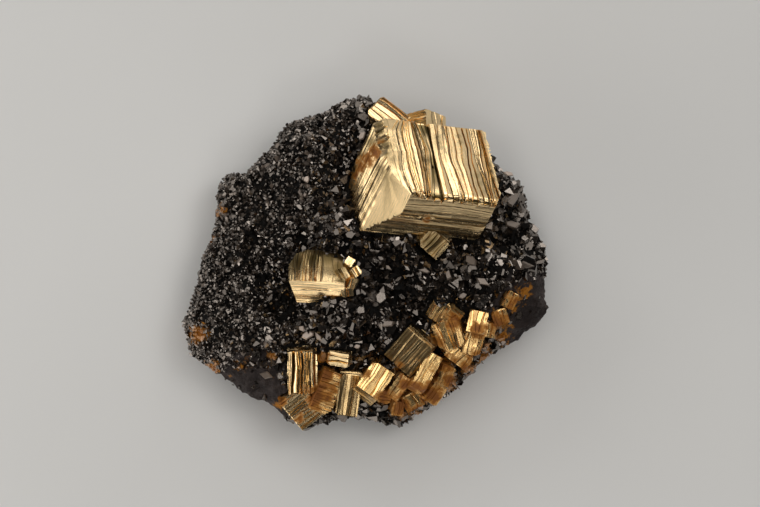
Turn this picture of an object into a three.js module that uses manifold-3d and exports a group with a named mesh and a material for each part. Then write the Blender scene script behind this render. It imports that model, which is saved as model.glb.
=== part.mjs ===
// A pyrite specimen: brassy, ribbed cubes of pyrite grown on a lump of rock that is crusted with
// small black crystals. It lies on its flat back, with the crystals facing up.
// Millimetres, +Z up, origin in the middle of the flat back, +Y towards the great cube's end.
import * as THREE from "three";
import { mergeVertices } from "three/addons/utils/BufferGeometryUtils.js";
import Module from "manifold-3d";

const wasm = await Module();
wasm.setup();

// The specimen as a whole.
const CROWN_HEIGHT = 24; // the rock's surface at its middle
const EDGE_HEIGHT = 12.5; // the rock's shoulder, just inside its outline
const DOME_POWER = 2.3; // how late the crown falls away towards the shoulder
const SEAT_GAP = 0.3; // clearance round each crystal where it sits in the rock or a neighbour

// The rock's outline from above, anticlockwise from the right-hand tip.
const OUTLINE = [
  [37.2, -10.7], [36.9, -4.3], [36.2, 3.7], [33, 8.7], [31, 17.1], [27.7, 17.9], [26, 20.5],
  [23.2, 23.6], [16.8, 25.6], [8.8, 27.6], [2, 32.4], [-3.4, 33.7], [-9.4, 30.1], [-15.8, 28.5],
  [-19.3, 23.6], [-22.8, 20.1], [-24.3, 18.3], [-29, 18.1], [-30.2, 14.1], [-30.5, 7.7],
  [-31.8, 4.7], [-33.7, -1.3], [-35.2, -7.7], [-37.2, -12.3], [-36.4, -15.3], [-35.7, -19.7],
  [-31.2, -21.2], [-26.2, -26.1], [-19.8, -28.7], [-16.8, -31.7], [-12, -33.8], [-8.8, -33.1],
  [-2.4, -31.1], [3, -32.7], [7.6, -33.4], [11, -30.7], [16.6, -27.2], [20.5, -23.2],
  [25.4, -18.2], [33, -15],
];

// Swells and hollows of the rock's surface: middle, radius and height of each.
const SWELLS = [
  { x: -12, y: 21, radius: 9, height: 2.2 },
  { x: -28, y: -8, radius: 8, height: 1.6 },
  { x: 22, y: -3, radius: 9, height: 2.2 },
  { x: -1, y: 7, radius: 4, height: 1.4 },
  { x: 29, y: 14, radius: 5, height: 3.5 },
  { x: -19, y: 11, radius: 6, height: -3.4 },
  { x: -4, y: 26, radius: 5, height: -3 },
  { x: -16, y: -7, radius: 5, height: -3.4 },
  { x: 2, y: -8, radius: 6, height: -1.5 },
  { x: 9, y: -30, radius: 6, height: -3.5 },
  { x: 31, y: -11, radius: 6, height: -3.2 },
  { x: -5, y: 15.5, radius: 6, height: -5.5 },
];
const LUMPS = { count: 34, least: 2.5, most: 4.5, height: 1.5 }; // small swells and hollows in between

// The lower end of the rock drops by a step, and the band of small cubes stands on it.
const STEP_Y = -15.5;
const STEP_DROP = 3.6;
const STEP_SOFTNESS = 1.1;
const STEP_FROM_X = -18;

const TOP_RINGS = 13; // the top surface is a disc of triangles, with six more points in each ring
const SHOULDER = 0.95; // share of the outline's radius where the top surface ends
const SIDE_RINGS = [
  { reach: 1, rise: 0.74 },
  { reach: 0.98, rise: 0.48 },
  { reach: 0.955, rise: 0.22 },
  { reach: 0.87, rise: 0 },
];
const STRAY = { sideways: 0.5, upwards: 0.95 }; // how far the rock's points stray from a smooth lump

const DRUSE_COUNT = 110; // black crystals large enough to be seen as such from a step away
const DRUSE_SIZE = { least: 1.4, most: 2.8 };

// A repeatable source of numbers from 0 to 1.
function numbersFrom(seed) {
  let state = seed >>> 0;
  return () => {
    state = (state + 0x6d2b79f5) >>> 0;
    let mixed = Math.imul(state ^ (state >>> 15), 1 | state);
    mixed = (mixed + Math.imul(mixed ^ (mixed >>> 7), 61 | mixed)) ^ mixed;
    return ((mixed ^ (mixed >>> 14)) >>> 0) / 4294967296;
  };
}

// A closed three.js geometry as a solid.
function solidOf(geometry) {
  const bare = geometry.clone();
  bare.deleteAttribute("normal");
  bare.deleteAttribute("uv");
  const merged = mergeVertices(bare, 1e-4);
  return new wasm.Manifold(
    new wasm.Mesh({
      numProp: 3,
      vertProperties: new Float32Array(merged.attributes.position.array),
      triVerts: new Uint32Array(merged.index.array),
    }),
  );
}

// A solid as a three.js geometry.
function geometryOf(solid) {
  const mesh = solid.getMesh();
  const positions = new Float32Array(mesh.numVert * 3);
  for (let i = 0; i < mesh.numVert; i++) {
    positions.set(mesh.vertProperties.subarray(i * mesh.numProp, i * mesh.numProp + 3), i * 3);
  }
  const geometry = new THREE.BufferGeometry();
  geometry.setAttribute("position", new THREE.BufferAttribute(positions, 3));
  geometry.setIndex(new THREE.BufferAttribute(new Uint32Array(mesh.triVerts), 1));
  geometry.computeVertexNormals();
  return geometry;
}

// The largest body of a solid, without the loose crumbs that a cut leaves.
function largestBody(solid) {
  return solid.decompose().reduce((best, body) => (body.volume() > best.volume() ? body : best));
}

// The rock

const outlineByAngle = OUTLINE.map(([x, y]) => ({
  angle: Math.atan2(y, x),
  reach: Math.hypot(x, y),
})).sort((a, b) => a.angle - b.angle);

// Distance from the middle to the outline in one direction.
function outlineReach(angle) {
  const count = outlineByAngle.length;
  const next = outlineByAngle.findIndex((corner) => corner.angle > angle);
  const after = outlineByAngle[next < 0 ? 0 : next];
  const before = outlineByAngle[(next < 0 ? count - 1 : next - 1 + count) % count];
  const turn = 2 * Math.PI;
  const span = (after.angle - before.angle + turn) % turn;
  const share = ((angle - before.angle + turn) % turn) / span;
  return before.reach + (after.reach - before.reach) * share;
}

function lumps() {
  const random = numbersFrom(3);
  return Array.from({ length: LUMPS.count }, () => {
    const angle = (random() - 0.5) * 2 * Math.PI;
    const reach = Math.sqrt(random()) * outlineReach(angle);
    return {
      x: Math.cos(angle) * reach,
      y: Math.sin(angle) * reach,
      radius: LUMPS.least + (LUMPS.most - LUMPS.least) * random(),
      height: (random() - 0.5) * 2 * LUMPS.height,
    };
  });
}

const swells = [...SWELLS, ...lumps()];

// Height of the rock's smooth top surface.
function rockHeight(x, y) {
  const share = Math.hypot(x, y) / outlineReach(Math.atan2(y, x));
  let height = CROWN_HEIGHT - (CROWN_HEIGHT - EDGE_HEIGHT) * Math.pow(Math.min(share, 1), DOME_POWER);
  for (const swell of swells) {
    const far = Math.hypot(x - swell.x, y - swell.y) / swell.radius;
    height += swell.height * Math.exp(-far * far);
  }
  const below = 1 / (1 + Math.exp((y - STEP_Y) / STEP_SOFTNESS));
  const beside = 1 / (1 + Math.exp((STEP_FROM_X - x) / STEP_SOFTNESS));
  return height - STEP_DROP * below * beside * (1 - 0.6 * share * share);
}

function rockBody() {
  const random = numbersFrom(7);
  const stray = (most) => (random() - 0.5) * 2 * most;
  const points = [0, 0, rockHeight(0, 0)];
  for (let ring = 1; ring <= TOP_RINGS; ring++) {
    const share = (SHOULDER * ring) / TOP_RINGS;
    for (let i = 0; i < 6 * ring; i++) {
      const angle = -Math.PI + (2 * Math.PI * i) / (6 * ring);
      const reach = share * outlineReach(angle);
      const x = Math.cos(angle) * reach + stray(STRAY.sideways);
      const y = Math.sin(angle) * reach + stray(STRAY.sideways);
      points.push(x, y, rockHeight(x, y) + stray(STRAY.upwards));
    }
  }
  const sectors = 6 * TOP_RINGS;
  for (const side of SIDE_RINGS) {
    for (let i = 0; i < sectors; i++) {
      const angle = -Math.PI + (2 * Math.PI * i) / sectors;
      const outer = outlineReach(angle);
      const edge = rockHeight(Math.cos(angle) * outer * SHOULDER, Math.sin(angle) * outer * SHOULDER);
      const reach = side.reach * outer - Math.abs(stray(side.reach < 1 ? 2 * STRAY.sideways : STRAY.sideways));
      const rise = side.rise * edge + (side.rise > 0 ? stray(STRAY.upwards) : 0);
      points.push(Math.cos(angle) * reach, Math.sin(angle) * reach, rise);
    }
  }
  points.push(0, 0, 0);
  const bottom = points.length / 3 - 1;

  const faces = [];
  const onTop = (ring, i) => (ring ? 1 + 3 * ring * (ring - 1) + (i % (6 * ring)) : 0);
  for (let ring = 1; ring <= TOP_RINGS; ring++) {
    for (let i = 0; i < 6 * ring; i++) {
      const inner = Math.floor(i / ring) * (ring - 1) + (i % ring);
      faces.push(onTop(ring - 1, inner), onTop(ring, i), onTop(ring, i + 1));
      if (i % ring < ring - 1) {
        faces.push(onTop(ring - 1, inner), onTop(ring, i + 1), onTop(ring - 1, inner + 1));
      }
    }
  }
  const shoulder = onTop(TOP_RINGS, 0);
  const onSide = (row, i) => shoulder + row * sectors + (i % sectors);
  for (let i = 0; i < sectors; i++) {
    for (let row = 0; row < SIDE_RINGS.length; row++) {
      faces.push(onSide(row, i), onSide(row + 1, i), onSide(row + 1, i + 1));
      faces.push(onSide(row, i), onSide(row + 1, i + 1), onSide(row, i + 1));
    }
    faces.push(bottom, onSide(SIDE_RINGS.length, i + 1), onSide(SIDE_RINGS.length, i));
  }
  const geometry = new THREE.BufferGeometry();
  geometry.setAttribute("position", new THREE.Float32BufferAttribute(points, 3));
  geometry.setIndex(faces);
  return solidOf(geometry);
}

// One black crystal: an octahedron or a tetrahedron, turned any way.
function blackCrystal(random) {
  const size = DRUSE_SIZE.least + (DRUSE_SIZE.most - DRUSE_SIZE.least) * random() ** 2;
  const geometry = random() < 0.6 ? new THREE.OctahedronGeometry(size) : new THREE.TetrahedronGeometry(size * 1.2);
  geometry.rotateX(random() * Math.PI);
  geometry.rotateY(random() * Math.PI);
  geometry.rotateZ(random() * Math.PI);
  return geometry;
}

// The black crystals, spread evenly over the top by the golden angle.
function druse() {
  const random = numbersFrom(21);
  const goldenAngle = Math.PI * (3 - Math.sqrt(5));
  const crystals = [];
  for (let i = 0; i < DRUSE_COUNT; i++) {
    const angle = ((i * goldenAngle + Math.PI) % (2 * Math.PI)) - Math.PI;
    const reach = 0.96 * Math.sqrt((i + 0.5) / DRUSE_COUNT) * outlineReach(angle);
    const x = Math.cos(angle) * reach;
    const y = Math.sin(angle) * reach;
    const geometry = blackCrystal(random);
    geometry.translate(x, y, rockHeight(x, y) + 0.2);
    crystals.push(solidOf(geometry));
  }
  return crystals;
}

// The pyrite crystals

// Points from one corner to the next, with grooves that bite to the left of the way they go.
function grooved(from, to, count, depth, seed) {
  if (!count || !depth) return [from];
  const random = numbersFrom(seed);
  const length = Math.hypot(to[0] - from[0], to[1] - from[1]);
  const along = [(to[0] - from[0]) / length, (to[1] - from[1]) / length];
  const inward = [-along[1], along[0]];
  const point = (share, bite) => [
    from[0] + along[0] * share * length + inward[0] * bite,
    from[1] + along[1] * share * length + inward[1] * bite,
  ];
  const points = [from];
  for (let i = 0; i < count; i++) {
    const groove = (i + 0.35 + 0.3 * random()) / count;
    points.push(point(groove, depth * (0.4 + 0.6 * random())));
    if (i < count - 1) points.push(point((i + 0.85 + 0.2 * random()) / count, depth * 0.3 * random()));
  }
  return points;
}

// An outline carried straight along one of the crystal's own axes.
const CARRY = {
  z: new THREE.Matrix4(),
  y: new THREE.Matrix4().makeBasis(
    new THREE.Vector3(1, 0, 0), new THREE.Vector3(0, 0, 1), new THREE.Vector3(0, -1, 0)),
  x: new THREE.Matrix4().makeBasis(
    new THREE.Vector3(0, 1, 0), new THREE.Vector3(0, 0, 1), new THREE.Vector3(1, 0, 0)),
};

function prism(outline, axis, length) {
  const shape = new THREE.Shape(outline.map(([u, v]) => new THREE.Vector2(u, v)));
  const geometry = new THREE.ExtrudeGeometry(shape, { depth: length, bevelEnabled: false });
  geometry.translate(0, 0, -length / 2);
  geometry.applyMatrix4(CARRY[axis]);
  return solidOf(geometry);
}

// Pyrite's cube has ribs that run a different way on each pair of faces. It is the part that three
// grooved prisms share, one carried along each axis. The front face is at z = 0, with upright ribs.
function ribbedCube({ size: [width, height, depth], ribs = [5, 3, 3], bite = 0.35, seed = 1 }) {
  const [right, top] = [width / 2, height / 2];
  const plan = [
    [-right, -top],
    ...grooved([right, -top], [right, top], ribs[1], bite, seed + 1),
    [right, top],
    ...grooved([-right, top], [-right, -top], ribs[1], bite, seed + 2),
  ];
  const across = [
    [-right, -depth],
    [right, -depth],
    ...grooved([right, 0], [-right, 0], ribs[0], bite, seed + 3),
    [-right, 0],
  ];
  const upright = [
    [-top, -depth],
    ...grooved([top, -depth], [top, 0], ribs[2], bite, seed + 4),
    [top, 0],
    ...grooved([-top, 0], [-top, -depth], ribs[2], bite, seed + 5),
  ];
  const reach = 3 * Math.max(width, height, depth);
  return prism(plan, "z", reach)
    .intersect(prism(across, "y", reach))
    .intersect(prism(upright, "x", reach));
}

// The great cube, about its corner nearest the viewer. Its front face runs right and up from there,
// and its corners are cut by the 2:1 faces that pyrite has.
const GREAT = { left: -3.5, right: 20.5, top: 21.3, back: 18, corner: 7, rightCorner: 4.1, heel: 5.6 };

// The front face has two blocks of ribs with a sunken wedge between them. Each furrow between two
// ribs runs from the top down, on a line between its block's left and right guides.
const FURROW_BLOCKS = [
  {
    count: 6, depth: 0.55, halfWidth: 0.24,
    left: [[1.5, 22], [-0.8, 12.5], [-0.9, 6], [-0.2, 0.4]],
    right: [[5, 22], [6.2, 12.5], [5.6, 6], [4.5, 0.4]],
  },
  {
    count: 9, depth: 0.6, halfWidth: 0.26,
    left: [[8.8, 22], [8.2, 11], [8.2, 0.3]],
    right: [[19.6, 22], [19.3, 12], [19, 0.3]],
  },
];
const WEDGE = { line: [[6.6, 22], [7.1, 12.5], [6.7, 6], [6.1, 0]], halfWidths: [1.2, 0.4, 0.8, 1.2], depth: 1.5 };

// A trench with a V-shaped section, to be cut into a front face at z = 0.
function trench(line, halfWidths, depth) {
  const points = line.flatMap(([x, y], i) => {
    const wide = halfWidths[i] * (1 + 1 / depth);
    return [x - wide, y, 1, x + wide, y, 1, x, y, -depth];
  });
  const faces = [0, 1, 2];
  for (let i = 0; i < 3 * (line.length - 1); i += 3) {
    for (let side = 0; side < 3; side++) {
      const [here, next] = [i + side, i + ((side + 1) % 3)];
      faces.push(here, here + 3, next, next, here + 3, next + 3);
    }
  }
  const last = 3 * (line.length - 1);
  faces.push(last, last + 2, last + 1);
  const geometry = new THREE.BufferGeometry();
  geometry.setAttribute("position", new THREE.Float32BufferAttribute(points, 3));
  geometry.setIndex(faces);
  return solidOf(geometry);
}

function frontTrenches(seed) {
  const random = numbersFrom(seed);
  const trenches = [trench(WEDGE.line, WEDGE.halfWidths, WEDGE.depth)];
  for (const block of FURROW_BLOCKS) {
    for (let i = 0; i < block.count; i++) {
      const share = (i + 0.25 + 0.5 * random()) / block.count;
      const line = block.left.map(([x, y], k) => {
        const guide = block.right[k];
        return [x + (guide[0] - x) * share + 0.4 * (random() - 0.5), y + (guide[1] - y) * share];
      });
      const halfWidths = line.map(() => block.halfWidth * (0.6 + 0.8 * random()));
      trenches.push(trench(line, halfWidths, block.depth * (0.6 + 0.6 * random())));
    }
  }
  return trenches;
}

function greatCube({ bite = 0.4, ribs = { side: 7, heel: 5 }, seed = 40 }) {
  const { left, right, top, back, corner, rightCorner, heel } = GREAT;
  const plan = [
    [0, 0],
    [right - rightCorner / 2, 0],
    ...grooved([right, rightCorner], [right, top], ribs.side, bite, seed + 1),
    [right, top],
    ...grooved([left, top], [left, corner], ribs.side, bite, seed + 2),
    [left, corner],
  ];
  const across = [[left, -back], [right, -back], [right, 0], [left, 0]];
  const upright = [
    [top, -back],
    [top, 0],
    [0, 0],
    ...grooved([0, -heel], [(back - heel) / 2, -back], ribs.heel, bite, seed + 3),
    [(back - heel) / 2, -back],
  ];
  const reach = 3 * (right - left);
  const block = prism(plan, "z", reach)
    .intersect(prism(across, "y", reach))
    .intersect(prism(upright, "x", reach));
  return bite ? frontTrenches(seed).reduce((rest, cut) => rest.subtract(cut), block) : block;
}

// The middle crystal, about the middle of the ridge below its front face. The front face swells into
// a low dome, the sides close in towards the foot, and the foot has ribs along the ridge.
const MIDDLE = { width: 11.6, height: 8, depth: 7.2, dome: 0.6, taper: 1.9 };

function middleCrystal({ bite = 0.25, ribs = 5, seed = 60 }) {
  const { width, height, depth, dome, taper } = MIDDLE;
  const right = width / 2;
  const plan = [
    [-right, 0],
    [0.92 * right, 0],
    [right, 0.5 * height],
    [0.8 * right, height],
    [-0.55 * right, height],
    [-right, 0.7 * height],
  ];
  const across = [
    [taper - right, -depth],
    [right, -depth],
    [right, -0.4],
    [0.45 * right, 0.8 * dome],
    [-0.3 * right, dome],
    [-right, -0.3],
  ];
  const upright = [
    [height, -depth],
    [height, -2.2],
    [0.7 * height, 0],
    [0.35 * height, dome],
    ...grooved([0, 0], [0, -depth], ribs, bite, seed),
    [0, -depth],
  ];
  const reach = 3 * width;
  return prism(plan, "z", reach)
    .intersect(prism(across, "y", reach))
    .intersect(prism(upright, "x", reach));
}

// Where each crystal stands. "at" is the middle of its front face, or the nearest corner of the
// great cube and the middle of the ridge of the middle crystal. Spin turns the crystal in the
// plane of its front face, pitch then leans that face up or down, and yaw left or right.
const CRYSTALS = [
  { name: "great_cube", make: greatCube, at: [9, 13.5, 40], spin: -8.7, pitch: -42.8, yaw: 27.8, colour: "brass" },
  {
    name: "upper_left_cube", at: [4.4, 29.6, 22], spin: 53.6, pitch: -27.5, yaw: -15.6,
    size: [5, 8.4, 7], ribs: [5, 3, 3], seed: 100, colour: "brass",
  },
  {
    name: "upper_right_cube", at: [14.2, 27.2, 18.4], spin: -13.3, pitch: -12.5, yaw: 56.3,
    size: [7.1, 6, 5], ribs: [2, 3, 4], bite: 0.25, seed: 110, colour: "brass",
  },
  {
    name: "under_cube", at: [13.4, 3.2, 25.2], spin: -42, pitch: 12, yaw: 6,
    size: [5.6, 5, 5.5], ribs: [7, 3, 3], bite: 0.25, seed: 120, colour: "brass",
  },
  { name: "middle_crystal", make: middleCrystal, at: [-9.6, -4, 27.5], spin: -3.7, pitch: -35, yaw: 3, colour: "brass" },
  {
    name: "corner_cube", at: [-12.8, -29.3, 17], spin: -52.3, pitch: 20, yaw: -4,
    size: [7.6, 6, 7], ribs: [8, 4, 4], seed: 130, colour: "brass",
  },
  {
    name: "tall_ribbed_cube", at: [-12.7, -22.2, 21], spin: 1, pitch: 16, yaw: 2,
    size: [6, 9, 7], ribs: [6, 3, 3], bite: 0.6, seed: 140, colour: "brass",
  },
  {
    name: "amber_ribbed_cube", at: [-7.7, -26, 19], spin: 70.5, pitch: 14, yaw: 10,
    size: [8.8, 4.6, 7], ribs: [7, 3, 2], bite: 0.4, seed: 150, colour: "amber",
  },
  {
    name: "brown_ribbed_cube", at: [-3.4, -26.6, 18.6], spin: -6.3, pitch: 15, yaw: 8,
    size: [4.6, 8.7, 7], ribs: [7, 3, 3], bite: 0.3, seed: 160, colour: "brown",
  },
  {
    name: "stepped_cube", at: [-5.6, -19.3, 21.4], spin: 81, pitch: 10, yaw: -12,
    size: [3.1, 4.4, 5], ribs: [3, 2, 2], bite: 0.55, seed: 170, colour: "brass",
  },
  {
    name: "bright_cube", at: [1.9, -23.5, 22.2], spin: -35.5, pitch: -9, yaw: 10,
    size: [5, 6.6, 7.5], ribs: [4, 4, 4], bite: 0.18, seed: 180, colour: "brass",
  },
  {
    name: "tan_cube", at: [12.2, -21.8, 21.6], spin: -29, pitch: -4, yaw: 12,
    size: [3.3, 8, 7], ribs: [2, 3, 3], bite: 0.2, seed: 190, colour: "brass",
  },
  {
    name: "shadow_cube", at: [8.6, -18, 21], spin: -44, pitch: 18, yaw: -16,
    size: [7, 8.2, 7], ribs: [8, 4, 4], bite: 0.3, seed: 200, colour: "brown",
  },
  {
    name: "amber_plate", at: [6.6, -25, 18.2], spin: -36, pitch: 8, yaw: 8,
    size: [3, 5.4, 5], ribs: [3, 2, 2], bite: 0.2, seed: 210, colour: "amber",
  },
];

// Groups of smaller cubes that have grown into each other, each group one solid.
const CLUSTERS = [
  {
    name: "middle_cubelets", colour: "brass", seed: 300,
    cubes: [
      { at: [-4.6, -2.2, 26.4], spin: 24, pitch: -20, yaw: 20, size: [2.4, 2.6, 3.4], ribs: [2, 0, 0] },
      { at: [-3.2, 0.2, 25.8], spin: -34, pitch: -8, yaw: 10, size: [1.7, 1.8, 3.4], ribs: [1, 0, 0] },
      { at: [-1.9, -1.8, 25.9], spin: 32, pitch: -12, yaw: 28, size: [2.1, 1.9, 4], ribs: [1, 0, 0] },
      { at: [-2.6, -4.2, 25.7], spin: -20, pitch: 16, yaw: 20, size: [2, 2.2, 4], ribs: [1, 0, 0] },
      { at: [-3.7, -6, 25.2], spin: 12, pitch: 24, yaw: 10, size: [2.4, 1.9, 4], ribs: [1, 0, 0] },
    ],
  },
  {
    name: "ridge_cubes", colour: "amber", seed: 400,
    cubes: [
      { at: [14.5, -9.7, 22.6], spin: -33, pitch: 12, yaw: -14, size: [4, 4.6, 7] },
      { at: [17.4, -10.6, 22.4], spin: 57, pitch: 12, yaw: 20, size: [3.6, 3.8, 6] },
      { at: [16.6, -14.6, 22], spin: 20, pitch: 16, yaw: -6, size: [5.6, 6.2, 8] },
      { at: [22.3, -11.8, 22.6], spin: -12, pitch: -6, yaw: 6, size: [3.8, 4.6, 8] },
      { at: [21.4, -16.4, 20.4], spin: -14, pitch: 18, yaw: 6, size: [4, 4.6, 8] },
      { at: [18.6, -19, 19.6], spin: -38, pitch: 20, yaw: 4, size: [5.4, 3, 6] },
    ],
  },
  {
    name: "lower_cubelets", colour: "amber", seed: 500,
    cubes: [
      { at: [3.8, -27, 18], spin: 74, pitch: 14, yaw: 10, size: [2.6, 2.8, 5] },
      { at: [6.4, -29.4, 15.4], spin: -8, pitch: 24, yaw: 6, size: [2.4, 3, 5] },
      { at: [9.4, -28, 15.2], spin: 30, pitch: 24, yaw: 10, size: [4, 3.6, 5] },
    ],
  },
  {
    name: "rusty_crust", colour: "amber", seed: 600,
    cubes: [
      { at: [13.9, -26.4, 17.6], spin: -30, pitch: 20, yaw: 20, size: [3.4, 4.4, 7] },
      { at: [16, -22.8, 18.2], spin: -18, pitch: 18, yaw: 22, size: [3.2, 4.2, 7] },
    ],
  },
  {
    name: "right_tip_cubes", colour: "amber", seed: 700,
    cubes: [
      { at: [29, -7.6, 19.4], spin: -24, pitch: 10, yaw: 18, size: [2.8, 3.4, 6] },
      { at: [27, -11.1, 18.6], spin: 20, pitch: 12, yaw: 14, size: [3.2, 3.2, 6] },
      { at: [24.9, -13.6, 18.2], spin: -10, pitch: 14, yaw: 10, size: [2.4, 3, 6] },
    ],
  },
];

const FINISH = {
  black: { color: 0x1d1a18, roughness: 0.35, metalness: 0.1 },
  brass: { color: 0xc9b37a, roughness: 0.3, metalness: 1 },
  amber: { color: 0xa9762f, roughness: 0.45, metalness: 0.8 },
  brown: { color: 0x6e5a3a, roughness: 0.45, metalness: 0.8 },
};

// The crystal's own axes to the specimen's: spin first, then pitch, then yaw.
function placing({ at, spin, pitch, yaw }) {
  const turn = new THREE.Euler(
    THREE.MathUtils.degToRad(pitch), THREE.MathUtils.degToRad(yaw), THREE.MathUtils.degToRad(spin), "YXZ");
  return new THREE.Matrix4().makeRotationFromEuler(turn).setPosition(...at);
}

function placed(solid, matrix) {
  const geometry = geometryOf(solid);
  geometry.applyMatrix4(matrix);
  return solidOf(geometry);
}

// The same solid, larger by the seat gap on every side.
function withGap(solid) {
  const geometry = geometryOf(solid);
  geometry.computeBoundingBox();
  const middle = geometry.boundingBox.getCenter(new THREE.Vector3());
  const size = geometry.boundingBox.getSize(new THREE.Vector3());
  geometry.translate(-middle.x, -middle.y, -middle.z);
  geometry.scale(1 + (2 * SEAT_GAP) / size.x, 1 + (2 * SEAT_GAP) / size.y, 1 + (2 * SEAT_GAP) / size.z);
  geometry.translate(middle.x, middle.y, middle.z);
  return solidOf(geometry);
}

// A crystal, and the plain seat that it needs in the rock and in its neighbours.
function grown(spec) {
  const make = spec.make ?? ribbedCube;
  const place = placing(spec);
  return { place, solid: placed(make(spec), place), seat: placed(withGap(make({ ...spec, bite: 0 })), place) };
}

// A cluster is placed by its first cube.
function grownCluster({ seed, cubes }) {
  const parts = cubes.map((cube, i) => grown({ ribs: [3, 0, 0], bite: 0.3, seed: seed + 10 * i, ...cube }));
  return {
    place: parts[0].place,
    solid: parts.map((part) => part.solid).reduce((a, b) => a.add(b)),
    seat: parts.map((part) => part.seat).reduce((a, b) => a.add(b)),
  };
}

// A mesh that holds the solid in its own frame, and is then turned and moved to its place.
function meshOf(name, solid, finish, place) {
  const geometry = geometryOf(solid);
  geometry.applyMatrix4(place.clone().invert());
  const mesh = new THREE.Mesh(geometry, new THREE.MeshStandardMaterial(FINISH[finish]));
  mesh.name = name;
  mesh.applyMatrix4(place);
  return mesh;
}

// Each crystal keeps the room it took first, and later ones and the rock stop short of it.
const pyrites = [
  ...CRYSTALS.map((spec) => ({ ...spec, ...grown(spec) })),
  ...CLUSTERS.map((spec) => ({ ...spec, ...grownCluster(spec) })),
];
const seats = [];
const crystals = new THREE.Group();
for (const pyrite of pyrites) {
  const solid = seats.reduce((rest, seat) => rest.subtract(seat), pyrite.solid);
  seats.push(pyrite.seat);
  crystals.add(meshOf(pyrite.name, largestBody(solid), pyrite.colour, pyrite.place));
}

const crusted = druse().reduce((rock, crystal) => rock.add(crystal), rockBody());
const matrix = seats.reduce((rock, seat) => rock.subtract(seat), crusted);

const specimen = new THREE.Group();
specimen.add(meshOf("black_matrix", largestBody(matrix), "black", new THREE.Matrix4()));
specimen.add(crystals);

export default specimen;
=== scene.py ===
# %% [markdown]
# # A pyrite specimen under soft light
# The object is a hand-sized lump of rock, crusted with small black crystals, with brassy cubes of
# pyrite grown on it. The measured solids come in first, as a frame to build around. Everything after
# that adds what a maker of solids leaves out: hundreds of fine ribs, thousands of tiny crystals, and
# the finishes that make metal look like metal.

import math
import random

import bmesh
import bpy
import numpy as np
from mathutils import Euler, Matrix, Vector, noise
from mathutils.bvhtree import BVHTree


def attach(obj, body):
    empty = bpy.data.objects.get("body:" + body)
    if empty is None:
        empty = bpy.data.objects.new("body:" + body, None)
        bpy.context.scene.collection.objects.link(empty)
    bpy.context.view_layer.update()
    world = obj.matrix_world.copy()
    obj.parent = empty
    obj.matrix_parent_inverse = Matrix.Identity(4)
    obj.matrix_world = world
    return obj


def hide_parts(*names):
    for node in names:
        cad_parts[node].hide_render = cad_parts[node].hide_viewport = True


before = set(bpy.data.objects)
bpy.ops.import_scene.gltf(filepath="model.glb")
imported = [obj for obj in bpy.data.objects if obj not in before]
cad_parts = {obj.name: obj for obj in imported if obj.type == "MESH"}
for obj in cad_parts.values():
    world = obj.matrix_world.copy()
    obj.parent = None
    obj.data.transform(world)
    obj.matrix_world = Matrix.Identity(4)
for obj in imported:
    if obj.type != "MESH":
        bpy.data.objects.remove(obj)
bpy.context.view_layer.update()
print("solids:", len(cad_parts))

# %% [markdown]
# Lengths below are in millimetres, because the specimen is small, and one factor turns them into
# Blender's metres. The helpers put data into the scene as an object, make an object from points and
# faces, and read a mesh's numbers in one go, which is far quicker than point by point.

# %% Units, and helpers for objects and meshes
MM = 0.001


def link_new(name, data):
    """A new object for a mesh, a light or a camera, linked to the scene."""
    piece = bpy.data.objects.new(name, data)
    bpy.context.scene.collection.objects.link(piece)
    return piece


def new_piece(name, points, faces):
    """A new object made of points and faces."""
    mesh = bpy.data.meshes.new(name)
    mesh.from_pydata(np.asarray(points, float).tolist(), [], faces)
    return link_new(name, mesh)


def read(items, name, kind=float, width=1):
    """One property of all points, corners or faces: a row of numbers, or rows of the given width."""
    values = np.empty(len(items) * width, kind)
    items.foreach_get(name, values)
    return values if width == 1 else values.reshape(-1, width)


def outward(mesh):
    """Turns every face of a closed mesh to the outside."""
    work = bmesh.new()
    work.from_mesh(mesh)
    bmesh.ops.recalc_face_normals(work, faces=work.faces)
    work.to_mesh(mesh)
    work.free()


def drop(piece):
    """Deletes an object that has served as a tool, and its mesh."""
    mesh = piece.data
    bpy.data.objects.remove(piece)
    bpy.data.meshes.remove(mesh)


# %% [markdown]
# ## The ribs of pyrite
# A pyrite cube grows in thin layers, and the edges of the layers pile up as ribs. On each face they
# all run one way, but they wander, widen and pinch out. A groove texture would look printed, so each
# face is a sheet whose lines of points follow the ribs. Borders wander across the face, and the strip
# between two borders gets its own level, its own slight tilt and a few hairline furrows that follow
# both borders. A deep furrow ends each strip.

# %% Lines of points that follow furrows and ribs
def wave(rng, along, length):
    """A smooth value within about 1 of zero, that changes along a rib over the given length."""
    total = np.zeros_like(along)
    for share, part in ((0.75, 1.0), (0.25, 0.41)):
        total += share * np.sin(2 * math.pi * (along / (length * part) + rng.random()))
    return total


UNEVEN = (0.45, 1.55)  # the narrowest and the widest strip, in usual widths
HAIR = 0.12  # a hairline furrow's usual depth, as a share of a deep furrow's


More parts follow.
